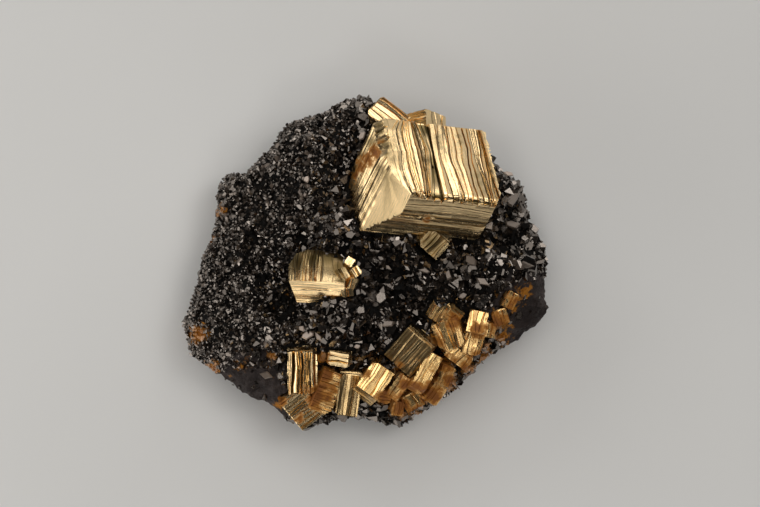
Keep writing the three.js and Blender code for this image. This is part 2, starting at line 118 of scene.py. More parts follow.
def rib_lines(
    rng, low, high, along, pitch, bite, wander=0.3, slopes=(-0.2, 0.2), width=1.0, hairs=3, gap=0.16, odd=0.25
):
    """Ribs between low and high: the places of their lines across the face, and heights, rows by lines.
    pitch is the usual width of a strip, bite the depth of its furrow, and wander how far its borders
    stray, in strips. slopes are the least and the most tilt, and hairs the most hairlines in a strip.
    Where low and high are shares of a face instead of millimetres, width is the face's width. gap is a
    furrow's share of a strip, and odd is the share of strips that lean the other way."""
    count = max(1, round((high - low) / pitch))
    step = (high - low) / count
    bend = 1.5 * (along[-1] - along[0])
    widths = np.cumsum([0] + [rng.uniform(*UNEVEN) for _ in range(count)])
    borders = [low + (high - low) * share + 0 * along for share in widths / widths[-1]]
    for i in range(1, count):
        borders[i] = borders[i] + step * (wander * wave(rng, along, bend) + 0.04 * wave(rng, along, 3.0))
    across, height = [], []
    for left, right in zip(borders, borders[1:]):
        level = -0.35 * bite * rng.random() ** 2 + 0.04 * bite * wave(rng, along, bend)
        rise = 0.5 * step * width * rng.uniform(*slopes) * (-1 if rng.random() < odd else 1)
        end = 1 - gap * rng.uniform(0.7, 1.3)
        marks = [(0.04, 0.0)]
        for _ in range(rng.randrange(hairs + 1)):
            marks += [(rng.uniform(0.12, 0.94) * end, HAIR * bite * rng.uniform(0.5, 1.5))]
        for share, deep in sorted(marks) + [(end, 0.0)]:
            at = left + share * (right - left)
            tall = level + rise * (2 * share - 1)
            if deep:
                lip = (0.03 + 0.05 * rng.random()) * (right - left)
                across += [at - lip, at, at + lip]
                height += [tall, tall - deep, tall]
            else:
                across.append(at)
                height.append(tall)
        across.append(left + (1 - 0.4 * (1 - end)) * (right - left))
        height.append(level - abs(rise) - bite * rng.uniform(0.3, 1.0) * (1 + 0.3 * wave(rng, along, bend)))
    return in_order(np.stack(across, axis=1), 0.004 * step), np.stack(height, axis=1)


def guide(line, y):
    """The value at y of a line through (y, value) rows."""
    return np.interp(y, [p[0] for p in line], [p[1] for p in line])


def in_order(across, least):
    """Pushes each line at least a little past the one before, so that a sheet never folds over."""
    rise = least * np.arange(across.shape[1])
    return np.maximum.accumulate(across - rise, axis=1) + rise


trial_across, _ = rib_lines(random.Random(1), 0, 4, np.linspace(0, 10, 5), 1, 0.3)
print("lines across four ribs:", trial_across.shape[1])

# %% [markdown]
# Each sheet becomes the lid of a thick slab, and a crystal is what five slabs have in common: front,
# left, right, top and foot. The cube's edges then come out notched where the ribs of one face run
# out over the next, as they do on the real crystal. The ribs of the front stand upright, those of
# the sides run into the depth, and those of the top and foot run from side to side. Modelling the
# notches by hand would take days, while the Boolean modifier cuts them in a moment.

# %% Slabs, and what slabs have in common
FACING = {
    "front": lambda across, along, out: (across, along, out),
    "left": lambda across, along, out: (-out, across, along),
    "right": lambda across, along, out: (out, across, along),
    "top": lambda across, along, out: (along, out, across),
    "foot": lambda across, along, out: (along, -out, across),
}
FAR = 45.0  # how far a slab reaches past the crystal


def slab(facing, across, along, out):
    """A closed slab under a sheet. across and out are rows by lines, along has one value a row."""
    rows, lines = across.shape
    along = np.repeat(along[:, None], lines, axis=1)
    lid = np.stack(FACING[facing](across, along, out), axis=-1).reshape(-1, 3)
    base = np.stack(FACING[facing](across, along, np.full_like(out, -FAR)), axis=-1).reshape(-1, 3)
    at = np.arange(rows * lines).reshape(rows, lines)
    faces = np.stack([at[:-1, :-1], at[:-1, 1:], at[1:, 1:], at[1:, :-1]], axis=-1).reshape(-1, 4).tolist()
    rim = [*at[0, :].tolist(), *at[1:, -1].tolist(), *at[-1, -2::-1].tolist(), *at[-2:0:-1, 0].tolist()]
    twin = {point: rows * lines + i for i, point in enumerate(rim)}
    faces += [(a, twin[a], twin[b], b) for a, b in zip(rim, rim[1:] + rim[:1])]
    faces.append([twin[point] for point in rim])
    piece = new_piece(facing, np.concatenate([lid, base[rim]]), faces)
    outward(piece.data)
    return piece


def half_space(points):
    """Everything beyond the plane through three points, on the side they turn anticlockwise to."""
    a, b, c = (Vector(p) for p in points)
    out = (b - a).cross(c - a).normalized()
    u = (b - a).normalized()
    v = out.cross(u)
    ring = ((-1, -1), (1, -1), (1, 1), (-1, 1))
    corners = [a + FAR * (s * u + t * v) + rise * out for rise in (0, FAR) for s, t in ring]
    faces = [(0, 1, 2, 3), (4, 5, 6, 7), (0, 1, 5, 4), (1, 2, 6, 5), (2, 3, 7, 6), (3, 0, 4, 7)]
    piece = new_piece("beyond", corners, faces)
    outward(piece.data)
    return piece


def combine(first, others, how="INTERSECT"):
    """Cuts the first mesh with the others, which are used up."""
    for other in others:
        cut = first.modifiers.new("cut", "BOOLEAN")
        cut.operation, cut.solver, cut.object = how, "MANIFOLD", other
    bpy.context.view_layer.update()
    whole = bpy.data.meshes.new_from_object(first.evaluated_get(bpy.context.evaluated_depsgraph_get()))
    first.modifiers.clear()
    old, first.data = first.data, whole
    bpy.data.meshes.remove(old)
    for other in others:
        drop(other)
    return first


# %% [markdown]
# A plain ribbed block needs only sizes and a number that starts its random ribs. Its front face lies
# at z = 0, so that it can be hung where a face is seen in the photograph. A few of its front corners
# are broken off, because no small crystal on the specimen is whole.

# %% A plain ribbed block
def ribbed_sheet(rng, facing, out, span, length, pitch, bite, wander=0.3, rows=26, swell=None, **ribs):
    """The slab of one ribbed face. span is across the ribs, length is along them, and swell is a
    function of both that tells how far the face stands out."""
    past_end, past_side = 1.5, 6  # how far the sheet reaches past the face
    along = np.linspace(length[0] - past_end, length[1] + past_end, rows)
    across, height = rib_lines(rng, *span, along, pitch, bite, wander, **ribs)
    if swell:
        height = height + swell(across, along[:, None])
    ends = np.ones((rows, 1))
    across = np.concatenate([(span[0] - past_side) * ends, across, (span[1] + past_side) * ends], axis=1)
    height = np.concatenate([height[:, :1], height, height[:, -1:]], axis=1)
    return slab(facing, across, along, out + height)


def ribbed_block(name, size, pitch=0.9, bite=0.3, side_bite=0.7, seed=1, breaks=2, **ribs):
    """A ribbed crystal of the given width, height and depth, with a few front corners broken off."""
    rng = random.Random(seed)
    w, h, d = size
    wide, high, deep = (-w / 2, w / 2), (-h / 2, h / 2), (-d, 0)
    block = ribbed_sheet(rng, "front", 0, wide, high, pitch, bite, **ribs)
    sides = [
        ("left", w / 2, high, deep), ("right", w / 2, high, deep),
        ("top", h / 2, deep, wide), ("foot", h / 2, deep, wide),
    ]
    combine(block, [ribbed_sheet(rng, *side, pitch, bite * side_bite) for side in sides])
    beyond = [half_space([(0, 0, -d), (0, 1, -d), (1, 0, -d)])]
    for _ in range(breaks):
        sx, sy = rng.choice([-1, 1]), rng.choice([-1, 1])
        cut = [rng.uniform(0.1, 0.3) * min(w, h) for _ in range(3)]
        corner = [
            (sx * (w / 2 - cut[0]), sy * h / 2, 0),
            (sx * w / 2, sy * (h / 2 - cut[1]), 0),
            (sx * w / 2, sy * h / 2, -cut[2] * 2),
        ]
        beyond.append(half_space(corner if sx * sy > 0 else corner[::-1]))
    combine(block, beyond, "DIFFERENCE")
    block.name = name
    return block


def block_planes(size):
    """The planes of a block's faces: outward direction and distance."""
    w, h, _ = size
    return [((0, 0, 1), 0), ((1, 0, 0), w / 2), ((-1, 0, 0), w / 2), ((0, 1, 0), h / 2), ((0, -1, 0), h / 2)]


# %% [markdown]
# A crystal is made about its own front face and then turned: spun in its plane, leaned up or down,
# and swung left or right. Before it is turned, each face notes how far across and along the ribs it
# lies, and how deep it has sunk below the crystal's plain planes. The finishes use these notes later
# for hair-fine lines and for the tarnish in the furrows. Shading is smooth along a rib and stays
# crisp across its edges, so a strip mirrors as one long facet.

# %% Grain, shading and place
def note_grain(piece, planes):
    """Stores (across, along, sunk) in millimetres at each face corner. planes are rows of outward
    direction and distance, and a distance may be a function of the points."""
    mesh = piece.data
    at = read(mesh.vertices, "co", width=3)[read(mesh.loops, "vertex_index", int)]
    normals = np.abs(read(mesh.polygons, "normal", width=3))
    facing = np.repeat(normals, read(mesh.polygons, "loop_total", int), axis=0)
    sunk = np.min([(d(at) if callable(d) else d) - at @ np.array(n, float) for n, d in planes], axis=0)
    x, y, z = at.T
    front = facing[:, 2] >= 0.6 * np.maximum(facing[:, 0], facing[:, 1])
    side = ~front & (facing[:, 0] >= facing[:, 1])
    across = np.where(front, x, np.where(side, y, z))
    along = np.where(front, y, np.where(side, z, x))
    layer = mesh.attributes.new("grain", "FLOAT_VECTOR", "CORNER")
    layer.data.foreach_set("vector", np.stack([across, along, sunk], axis=1).reshape(-1).astype(np.float32))


def smooth_strips(piece, limit=13):
    """Shades gentle bends smooth, and keeps every edge sharper than the limit in degrees."""
    piece.data.shade_smooth()
    piece.data.set_sharp_from_angle(angle=math.radians(limit))


def turned(at, spin, pitch, yaw):
    """The move from a crystal's own millimetres to its place in metres. Angles are in degrees."""
    turn = Euler([math.radians(angle) for angle in (pitch, yaw, spin)], "ZXY").to_matrix().to_4x4()
    return Matrix.Scale(MM, 4) @ Matrix.Translation(at) @ turn


def join(name, parts):
    """Makes one piece of several that have grown into each other."""
    whole = parts[0]
    if len(parts) > 1:
        with bpy.context.temp_override(active_object=whole, object=whole, selected_editable_objects=parts):
            bpy.ops.object.join()
    whole.name = whole.data.name = name
    return whole


# %% [markdown]
# ## Small and middling cubes
# Each row says where the middle of a front face is, how the crystal is turned, how large it is, how
# far apart its furrows are and how deep the deepest go. A last item changes how its ribs look where
# the photograph shows them bolder or calmer. Crystals that have grown into each other share a name
# and become one piece.

# %% The table of cubes
CUBES = {
    "upper_left_cube": [
        ((4.4, 29.6, 22), (53.6, -27.5, -15.6), (5, 8.4, 7), 0.8, 0.5, {"gap": 0.2, "slopes": (-0.12, 0.12)}),
    ],
    "upper_right_cube": [((14.2, 27.2, 18.4), (-13.3, -12.5, 56.3), (7.1, 6, 5), 1.4, 0.12)],
    "under_cube": [((13.6, 3.7, 25.2), (-42, 12, 6), (5.2, 4.4, 5.5), 0.63, 0.3, {"gap": 0.3})],
    "corner_cube": [((-12.8, -29.3, 17), (-52.3, 20, -4), (7.6, 6, 7), 0.7, 0.32, {"gap": 0.3})],
    "tall_ribbed_cube": [
        ((-12.7, -22.2, 21), (1, 16, 2), (6, 9, 7), 1.05, 0.7, {"gap": 0.42, "slopes": (-0.3, 0.3)}),
    ],
    "amber_ribbed_cube": [((-7.7, -26, 19), (70.5, 14, 10), (8.8, 4.6, 7), 0.63, 0.4)],
    "brown_ribbed_cube": [((-3.4, -26.6, 18.6), (-6.3, 15, 8), (4.6, 8.7, 7), 0.53, 0.25)],
    "stepped_cube": [((-5.6, -19.3, 21.4), (81, 10, -12), (3.1, 4.4, 5), 1.1, 0.6, {"gap": 0.3})],
    "bright_cube": [((1.9, -23.5, 22.2), (-35.5, -9, 10), (5, 6.6, 7.5), 1.1, 0.16)],
    "tan_cube": [((12.2, -21.8, 21.6), (-29, -4, 12), (3.3, 8, 7), 1.2, 0.14)],
    "shadow_cube": [((8.6, -18, 21), (-44, 18, -16), (7, 8.2, 7), 0.7, 0.28)],
    "amber_plate": [((6.6, -25, 18.2), (-36, 8, 8), (3, 5.4, 5), 0.88, 0.18)],
    "middle_cubelets": [
        ((-4.6, -2.2, 26.4), (24, -20, 20), (2.4, 2.6, 3.4), 0.61, 0.14),
        ((-3.2, 0.2, 25.8), (-34, -8, 10), (1.7, 1.8, 3.4), 0.61, 0.12),
        ((-1.9, -1.8, 25.9), (32, -12, 28), (2.1, 1.9, 4), 0.61, 0.14),
        ((-2.6, -4.2, 25.7), (-20, 16, 20), (2, 2.2, 4), 0.61, 0.14),
        ((-3.7, -6, 25.2), (12, 24, 10), (2.4, 1.9, 4), 0.61, 0.14),
    ],
    "ridge_cubes": [
        ((14.5, -9.7, 22.6), (-33, 12, -14), (4, 4.6, 7), 0.7, 0.28),
        ((17.4, -10.6, 22.4), (57, 12, 20), (3.6, 3.8, 6), 0.7, 0.24),
        ((16.6, -14.6, 22), (20, 16, -6), (5.6, 6.2, 8), 0.79, 0.36),
        ((22.3, -11.8, 22.6), (-12, -6, 6), (3.8, 4.6, 8), 0.96, 0.2),
        ((21.4, -16.4, 20.4), (-14, 18, 6), (4, 4.6, 8), 0.7, 0.3),
        ((18.6, -19, 19.6), (-38, 20, 4), (5.4, 3, 6), 0.7, 0.28),
    ],
    "lower_cubelets": [
        ((3.8, -27, 18), (74, 14, 10), (2.6, 2.8, 5), 0.61, 0.2),
        ((6.4, -29.4, 15.4), (-8, 24, 6), (2.4, 3, 5), 0.61, 0.2),
        ((9.4, -28, 15.2), (30, 24, 10), (4, 3.6, 5), 0.79, 0.3),
    ],
    "rusty_crust": [
        ((13.9, -26.4, 17.6), (-30, 20, 20), (3.4, 4.4, 7), 0.7, 0.3),
        ((16, -22.8, 18.2), (-18, 18, 22), (3.2, 4.2, 7), 0.7, 0.3),
    ],
    "right_tip_cubes": [
        ((29, -7.6, 19.4), (-24, 10, 18), (2.8, 3.4, 6), 0.7, 0.25),
        ((27, -11.1, 18.6), (20, 12, 14), (3.2, 3.2, 6), 0.7, 0.25),
        ((24.9, -13.6, 18.2), (-10, 14, 10), (2.4, 3, 6), 0.7, 0.25),
    ],
}

# %% [markdown]
# Every row is cut from its own five slabs. The table's order gives each crystal its own random
# number to start from, so the ribs come out the same on every run.

# %% Make the cubes
pyrite = {}
for row, (name, cubes) in enumerate(CUBES.items()):
    parts = []
    for i, (at, turn, size, pitch, bite, *looks) in enumerate(cubes):
        ribs = looks[0] if looks else {}
        block = ribbed_block(f"{name}_{i}", size, pitch, bite, seed=100 + 10 * row + i, **ribs)
        note_grain(block, block_planes(size))
        smooth_strips(block)
        block.data.transform(turned(at, *turn))
        parts.append(block)
    pyrite[name] = join(name + "_ribs", parts)
    print(name, len(pyrite[name].data.polygons), "faces")

# %% [markdown]
# ## The great cube
# It is the specimen's centrepiece and gets a plan of its own. Its front has a smooth lobed plate on
# the left, a block of ribs that bow and lean together as they come down, a sunken olive wedge, and a
# block of straighter, restless ribs. The guides below are the edges between those four. Each is a
# row of (height, distance from the near corner) on the face. The one for the left edge counts its
# distances to the left, because it also shapes the face round the corner.

# %% Guides of the great cube's front
GREAT = {
    "left": -3.5, "right": 20.5, "top": 21.3, "back": 18.0, "corner": 7.0, "right_corner": 4.1, "heel": 5.6,
}
PLATE_EDGE = [
    (-3, 0.4), (0, 0.2), (3, -0.6), (6.6, -1.2), (9, -1), (12, -0.5), (14.5, -0.9), (18, -0.6), (21.3, 1.5),
]
FAN_MIDDLE = [(-3, 2.4), (1, 2.6), (5.2, 2.4), (9.5, 2.2), (14.2, 2.5), (18, 3.0), (21.8, 3.6)]
WEDGE_LEFT = [(-3, 4.5), (1.8, 4.9), (5, 5.7), (9, 6.4), (13.4, 6.8), (17, 6.2), (21.7, 5.3)]
LEFT_EDGE = [(5, 3.4), (8.5, 3.2), (10, 3.3), (12, 2.7), (15, 1.8), (18, 2.2), (24, 1.9)]
WEDGE_RIGHT = [(-3, 7.3), (4, 7.3), (8, 7.3), (12.2, 7.35), (16, 7.5), (20.6, 8.0)]


def left_face(y, z):
    """How far out the left face lies. At the front it follows the plate's lobes, and then it swells."""
    ledge_end, ledge_depth = 2.2, 1.6
    front = np.clip((ledge_end + z) / ledge_depth, 0, 1)
    return front * guide(LEFT_EDGE, y) - (1 - front) * GREAT["left"]


def between(share, guides):
    """Lines at shares from 0 to 1 of the way across a row of guides that are evenly spaced."""
    spread = np.clip(share, 0, 0.9999) * (len(guides) - 1)
    left = spread.astype(int)
    guides = np.stack(guides, axis=1)
    low = np.take_along_axis(guides, left, axis=1)
    high = np.take_along_axis(guides, left + 1, axis=1)
    return low + (high - low) * (spread - left)


print("ribbed part of the front:", GREAT["right"] - PLATE_EDGE[0][1], "mm wide")

# %% [markdown]
# The front's sheet is put together from left to right. Near the foot the ribs end in a crumbly band
# of grains, made by shaking the sheet's lowest rows.

# %% The great cube's front sheet
def front_level(x, y):
    """How high the front lies over its plane: the smooth plate leans a little to the left."""
    edge = guide(PLATE_EDGE, y)
    return np.where(x < edge, 0.1 + 0.2 * (x - edge), -0.05)


def great_front(rng, rows=110):
    """The slab with the front face: plate, fan, sunken wedge and block, from left to right."""
    y = np.linspace(-1.5, 22.8, rows)
    one = np.ones((rows, 1))
    guides = (PLATE_EDGE, FAN_MIDDLE, WEDGE_LEFT, WEDGE_RIGHT)
    plate, fan, wedge_left, wedge_right = (guide(g, y) for g in guides)
    block_guides = [wedge_right, 13.6 * one[:, 0], 19.9 * one[:, 0]]
    plate_share, plate_height = rib_lines(
        rng, 0.3, 0.98, y, 0.3, 0.06, 0.15, (-0.03, 0.03), width=3, hairs=1, gap=0.08
    )
    fan_share, fan_height = rib_lines(
        rng, 0.01, 0.99, y, 0.14, 0.6, 0.3, (0.12, 0.3), width=6, hairs=4, gap=0.2, odd=0.22
    )
    block_share, block_height = rib_lines(
        rng, 0.01, 0.99, y, 0.07, 0.62, 0.45, (0.05, 0.27), width=12.5, hairs=4, gap=0.2, odd=0.33
    )
    sway = 0.3 * wave(rng, y, 16)[:, None]
    sunk = -0.45 - 0.15 * wave(rng, y, 12)[:, None]
    wedge_share, wedge_height = rib_lines(
        rng, 0.12, 0.9, y, 0.26, 0.4, 0.3, (0.0, 0.25), width=2, hairs=2, gap=0.25
    )
    across = np.concatenate([
        (GREAT["left"] - 6) * one,
        between(plate_share, [GREAT["left"] * one[:, 0], plate]),
        between(fan_share, [plate, fan, wedge_left]),
        between(wedge_share, [wedge_left, wedge_right]),
        between(block_share, block_guides) + sway * np.sin(block_share * math.pi),
        (GREAT["right"] + 6) * one,
    ], axis=1)
    height = np.concatenate([
        plate_height[:, :1],
        plate_height,
        fan_height,
        wedge_height + sunk,
        block_height,
        block_height[:, -1:],
    ], axis=1)
    height += front_level(np.clip(across, GREAT["left"] - 1, None), y[:, None])
    shake = np.array([[rng.uniform(-1, 0.15) for _ in range(height.shape[1])] for _ in range(rows)])
    near_foot = np.clip((1.9 + 0.5 * wave(rng, y, 3)[:, None] - y[:, None]) / 1.5, 0, 1)
    height += 0.9 * near_foot * shake * (across > 0.6)
    return slab("front", in_order(across, 0.012), y, height)


# %% [markdown]
# The other faces are ribbed sheets. Three bevels are cut off: one at each lower corner, and the heel
# under the foot. They are pyrite's 2:1 faces, which a plain cube lacks. The sheets of the foot and
# heel reach past the cube's back, or their slabs would cut it short. Small breaks finish it: a step
# across the ribs at the upper right, a knot in the wedge, and a notch where a chip has come off the
# foot.

# %% Make the great cube
def chip(rng, middle, size):
    """A lump of space with rough facets, to be cut away."""
    work = bmesh.new()
    bmesh.ops.create_icosphere(work, subdivisions=2, radius=1)
    for v in work.verts:
        v.co = Vector(middle) + Vector([c * s * rng.uniform(0.8, 1.15) for c, s in zip(v.co, size)])
    mesh = bpy.data.meshes.new("chip")
    work.to_mesh(mesh)
    work.free()
    return link_new("chip", mesh)


def corner_planes():
    """The planes of the three bevels: left corner, right corner and heel."""
    g, rise = GREAT, GREAT["right_corner"] / 2
    low = np.array([-g["corner"], g["left"], 0]) / math.hypot(g["corner"], g["left"])
    high = np.array([g["right_corner"], -rise, 0]) / math.hypot(g["right_corner"], rise)
    return [
        (low, 0.0),
        (high, float(high @ [g["right"], g["right_corner"], 0])),
        (np.array([0, -2.0, -1.0]) / math.sqrt(5), float(g["heel"] / math.sqrt(5))),
    ]


def make_great_cube():
    """Front slab, ribbed sides and bevels, cut into one crystal and moved to its place."""
    rng = random.Random(41)
    left, right, top, back, corner, right_corner, heel = GREAT.values()
    wide, deep = (left, right), (-back, 0)
    block = great_front(rng)
    heel_sheet = ribbed_sheet(
        rng, "foot", 0, (-heel - 24, -heel), wide, 1.0, 0.4, 0.35, 40, slopes=(0.0, 0.5), gap=0.3
    )
    to_heel, tilt = Matrix.Translation((0, 0, heel)), Matrix.Rotation(math.atan(0.5), 4, "X")
    heel_sheet.data.transform(to_heel.inverted() @ tilt @ to_heel)
    combine(block, [
        ribbed_sheet(
            rng, "left", 0, (corner - 2, top), deep, 1.3, 0.5, 0.35, 50, left_face,
            slopes=(-0.15, 0.55), gap=0.5, odd=0.2,
        ),
        ribbed_sheet(rng, "right", right, (0, top), deep, 1.3, 0.45, 0.3, 40, slopes=(-0.5, 0.5)),
        ribbed_sheet(rng, "top", top, deep, wide, 1.2, 0.4, 0.3, 40),
        ribbed_sheet(
            rng, "foot", 0, (-back - 4, -0.3), wide, 1.5, 0.1, 0.4, 50, slopes=(-0.07, 0.07), gap=0.08
        ),
        heel_sheet,
    ])
    foot_end = right - right_corner / 2
    combine(block, [
        half_space([(0, 0, 0), (left, corner, 0), (0, 0, -1)]),
        half_space([(foot_end, 0, 0), (foot_end, 0, -1), (right, right_corner, 0)]),
        half_space([(0, 0, -back), (0, 1, -back), (1, 0, -back)]),
        chip(rng, (5.6, 0.1, -6.2), (1.9, 0.7, 0.9)),
        chip(rng, (17.2, 13.9, 0.1), (1.5, 0.16, 0.7)),
        chip(rng, (6.7, 9.3, -1.0), (0.5, 0.8, 0.5)),
    ], "DIFFERENCE")
    planes = [
        ((0, 0, 1), lambda at: front_level(at[:, 0], at[:, 1])),
        ((-1, 0, 0), lambda at: left_face(at[:, 1], at[:, 2])),
        ((1, 0, 0), right), ((0, 1, 0), top), ((0, -1, 0), 0.0), *corner_planes(),
    ]
    note_grain(block, planes)
    smooth_strips(block)
    block.data.transform(turned((9, 13.5, 40), -8.7, -42.8, 27.8))
    block.name = block.data.name = "great_cube_ribs"
    return block


pyrite["great_cube"] = make_great_cube()
print("great cube:", len(pyrite["great_cube"].data.polygons), "faces")

# %% [markdown]
# ## The middle crystal
# It has two faces in view. The upper one swells into a low dome, with ribs that curve on its left
# half. The lower one is stepped by ribs that run along the ridge between the two.

# %% Make the middle crystal
MIDDLE = {"width": 11.6, "height": 8.0, "depth": 7.2, "dome": 0.6, "taper": 1.9}
MIDDLE_OUTLINE = [  # shares of half the width and of the height, anticlockwise from the lower right
    (0.92, 0), (1, 0.45), (0.92, 0.78), (0.62, 0.95), (0.1, 1.02), (-0.42, 0.98), (-0.78, 0.84), (-0.97, 0.55),
]


def dome(x, y):
    """How far the middle crystal's front bulges out."""
    m = MIDDLE
    across, up = 2 * (x + 0.8) / m["width"], 2 * (y - 0.4 * m["height"]) / m["height"]
    return m["dome"] * (1.7 - across ** 2 * 1.3 - up ** 2) / 1.4


def make_middle_crystal(rows=60):
    """Bowed ribs at its left, a few smoother strips at its right, and an outline with many corners."""
    m, rng = MIDDLE, random.Random(61)
    right = m["width"] / 2
    y = np.linspace(-1.2, m["height"] + 1.2, rows)
    bow = 1.1 * (1 - ((y - 0.2 * m["height"]) / m["height"]) ** 2)
    left_part, left_height = rib_lines(rng, -right, 0.3, y, 0.5, 0.26, 0.3, gap=0.3)
    right_part, right_height = rib_lines(rng, 0.9, right, y, 1.6, 0.03, 0.2, (-0.02, 0.02), 1, 1, 0.06)
    lean = np.clip((0.3 - left_part) / (right + 0.3), 0, 1)
    left_part = left_part - bow[:, None] * 0.9 * np.sin(lean * math.pi) + 0.5
    ends = np.full((rows, 1), right + 5)
    across = np.concatenate([-ends, left_part, right_part, ends], axis=1)
    height = np.concatenate([left_height[:, :1], left_height, right_height, right_height[:, -1:]], axis=1)
    across = in_order(across, 0.01)
    front = slab("front", across, y, height + dome(np.clip(across, -right, right), y[:, None]))
    foot = ribbed_sheet(
        rng, "foot", 0, (-m["depth"], 0.8), (-right, right), 1.1, 0.24, 0.4, 44,
        slopes=(-0.16, -0.06), gap=0.12, odd=0.0,
    )
    combine(front, [foot, ribbed_sheet(rng, "top", m["height"], (-m["depth"], 0), (-right, right), 0.5, 0.2)])
    h = m["height"]
    combine(front, [
        half_space([(0, 0, -m["depth"]), (0, 1, -m["depth"]), (1, 0, -m["depth"])]),
        *[
            half_space([(x0 * right, y0 * h, 0), (x0 * right, y0 * h, -1), (x1 * right, y1 * h, 0)])
            for (x0, y0), (x1, y1) in zip(MIDDLE_OUTLINE, MIDDLE_OUTLINE[1:])
        ],
        half_space([(-right, 0, 0), (-right, 1, 0), (m["taper"] - right, 0, -m["depth"])]),
    ], "DIFFERENCE")
    planes = [
        ((0, 0, 1), m["dome"]), ((0, -1, 0), 0.0), ((0, 1, 0), h), ((1, 0, 0), right), ((-1, 0, 0), right),
    ]
    note_grain(front, planes)
    smooth_strips(front)
    front.data.transform(turned((-9.6, -4, 27.5), -3.7, -35, 3))
    front.name = front.data.name = "middle_crystal_ribs"
    return front


pyrite["middle_crystal"] = make_middle_crystal()
print("middle crystal:", len(pyrite["middle_crystal"].data.polygons), "faces")

# %% [markdown]
# ## The rock
# The measured rock is copied, remeshed into small even faces, and worn down a little, to leave room
# for the crust of crystals. Noise at two scales makes it rough, and a table of hollows sinks the dark
# places seen between the crystals. Its flat back stays where it is.

# %% Make the rock's rough surface
rock_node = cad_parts["black_matrix"]
HOLLOWS = [  # x, y, radius and depth
    (-16.8, -9.7, 3.2, 1.0), (-19.2, -1.3, 3.6, 1.0), (9.6, -9.7, 2.6, 1.0), (-3.6, 3.9, 3.4, 1.0),
    (5.4, -3.7, 3.4, 1.0), (-13.2, 4.2, 3.4, 1.0), (27.6, 4.7, 2.2, 0.9), (-3.6, 19.1, 3.0, 0.9),
    (18.0, 4.7, 2.8, 0.8), (-0.8, 11.0, 3.2, 0.8), (-22.0, 5.2, 1.8, 0.7), (0.5, -13.0, 2.2, 0.7),
    (-27.5, -8.5, 1.8, 0.6), (-8.5, -14.5, 2.2, 0.7), (23.0, -3.5, 2.4, 0.8),
]


def bumps(x, y, table):
    """How far a spot lies in the rows' soft round areas, from 0 to the row's last number."""
    return max(
        amount * math.exp(-((x - cx) ** 2 + (y - cy) ** 2) / radius ** 2) for cx, cy, radius, amount in table
    )


def tree_of(objects, scale=1 / MM):
    """A search tree over the faces of some objects, in millimetres."""
    points, faces = [], []
    for item in objects:
        start = len(points)
        points += [item.matrix_world @ v.co * scale for v in item.data.vertices]
        faces += [[start + i for i in p.vertices] for p in item.data.polygons]
    return BVHTree.FromPolygons(points, faces)


rock_tree = tree_of([rock_node])
pyrite_tree = tree_of([node for name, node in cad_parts.items() if name != "black_matrix"])


def make_rock():
    """The rough surface, remeshed from the solid rock so that it follows it closely."""
    rock = link_new("rock_surface", rock_node.data.copy())
    remesh = rock.modifiers.new("even faces", "REMESH")
    remesh.mode, remesh.voxel_size = "VOXEL", 0.5 * MM
    bpy.context.view_layer.update()
    even = bpy.data.meshes.new_from_object(rock.evaluated_get(bpy.context.evaluated_depsgraph_get()))
    rock.modifiers.clear()
    old, rock.data = rock.data, even
    bpy.data.meshes.remove(old)
    at, out = read(even.vertices, "co", width=3) / MM, read(even.vertices, "normal", width=3)
    move = np.empty(len(at))
    for i in range(len(at)):
        p = Vector(at[i])
        rough = 0.5 * noise.noise(p * 0.45) + 0.35 * noise.noise(p * 1.1 + Vector((7, 3, 1)))
        rough += 0.3 * abs(noise.noise(p * 0.8 + Vector((2, 9, 4)))) + 0.12 * noise.noise(p * 2.2)
        seat = pyrite_tree.find_nearest(p, 0.75)[0] is not None
        move[i] = 0.3 + rough if seat else rough - 0.75 - 1.9 * bumps(p.x, p.y, HOLLOWS)
    move *= np.clip(at[:, 2] / 2.0, 0, 1)
    at += out * move[:, None]
    at[:, 2] = np.where(at[:, 2] < 0.35, 0.0, at[:, 2])
    even.vertices.foreach_set("co", (at * MM).reshape(-1))
    even.update()
    rock.data.name = "rock_surface"
    return rock


rock = make_rock()
print("rock:", len(rock.data.polygons), "faces")

# %% [markdown]
# ## The crust of black crystals
# Thousands of small black crystals stand on the rock. A particle system could strew them, but then
# they wouldn't be a mesh. So a few dozen crystals are cut first, each a lump trimmed by flat planes,
# and copies of them are turned every way and written straight into a few large meshes.

# %% Cut a stock of small crystals
def axes_of(kind, rng):
    """Directions and distances of the faces of four simple crystal forms."""
    if kind == "tetra":
        main = [(1, 1, 1), (1, -1, -1), (-1, 1, -1), (-1, -1, 1)]
        return [(v, 0.5) for v in main] + [(tuple(-c for c in v), 0.95) for v in main]
    if kind == "blade":
        turn, sides = rng.random(), rng.choice([3, 4, 4, 5])
        rim = [2 * math.pi * (k + turn + rng.uniform(-0.25, 0.25)) / sides for k in range(sides)]
        flat = [((0.15, 0.1, 1), 0.2), ((0.1, -0.15, -1), 0.2)]
        return flat + [
            ((math.cos(a), 0.6 * math.sin(a), rng.uniform(-0.5, 0.5)), rng.uniform(0.5, 0.9)) for a in rim
        ]
    if kind == "octa":
        return [((x, y, z), 0.66) for x in (-1, 1) for y in (-1, 1) for z in (-1, 1)]
    pairs = [(a, b) for a in (-1, 1) for b in (-1, 1)]
    twelve = [(a, b, 0) for a, b in pairs] + [(a, 0, b) for a, b in pairs] + [(0, a, b) for a, b in pairs]
    return [(normal, 0.78) for normal in twelve]


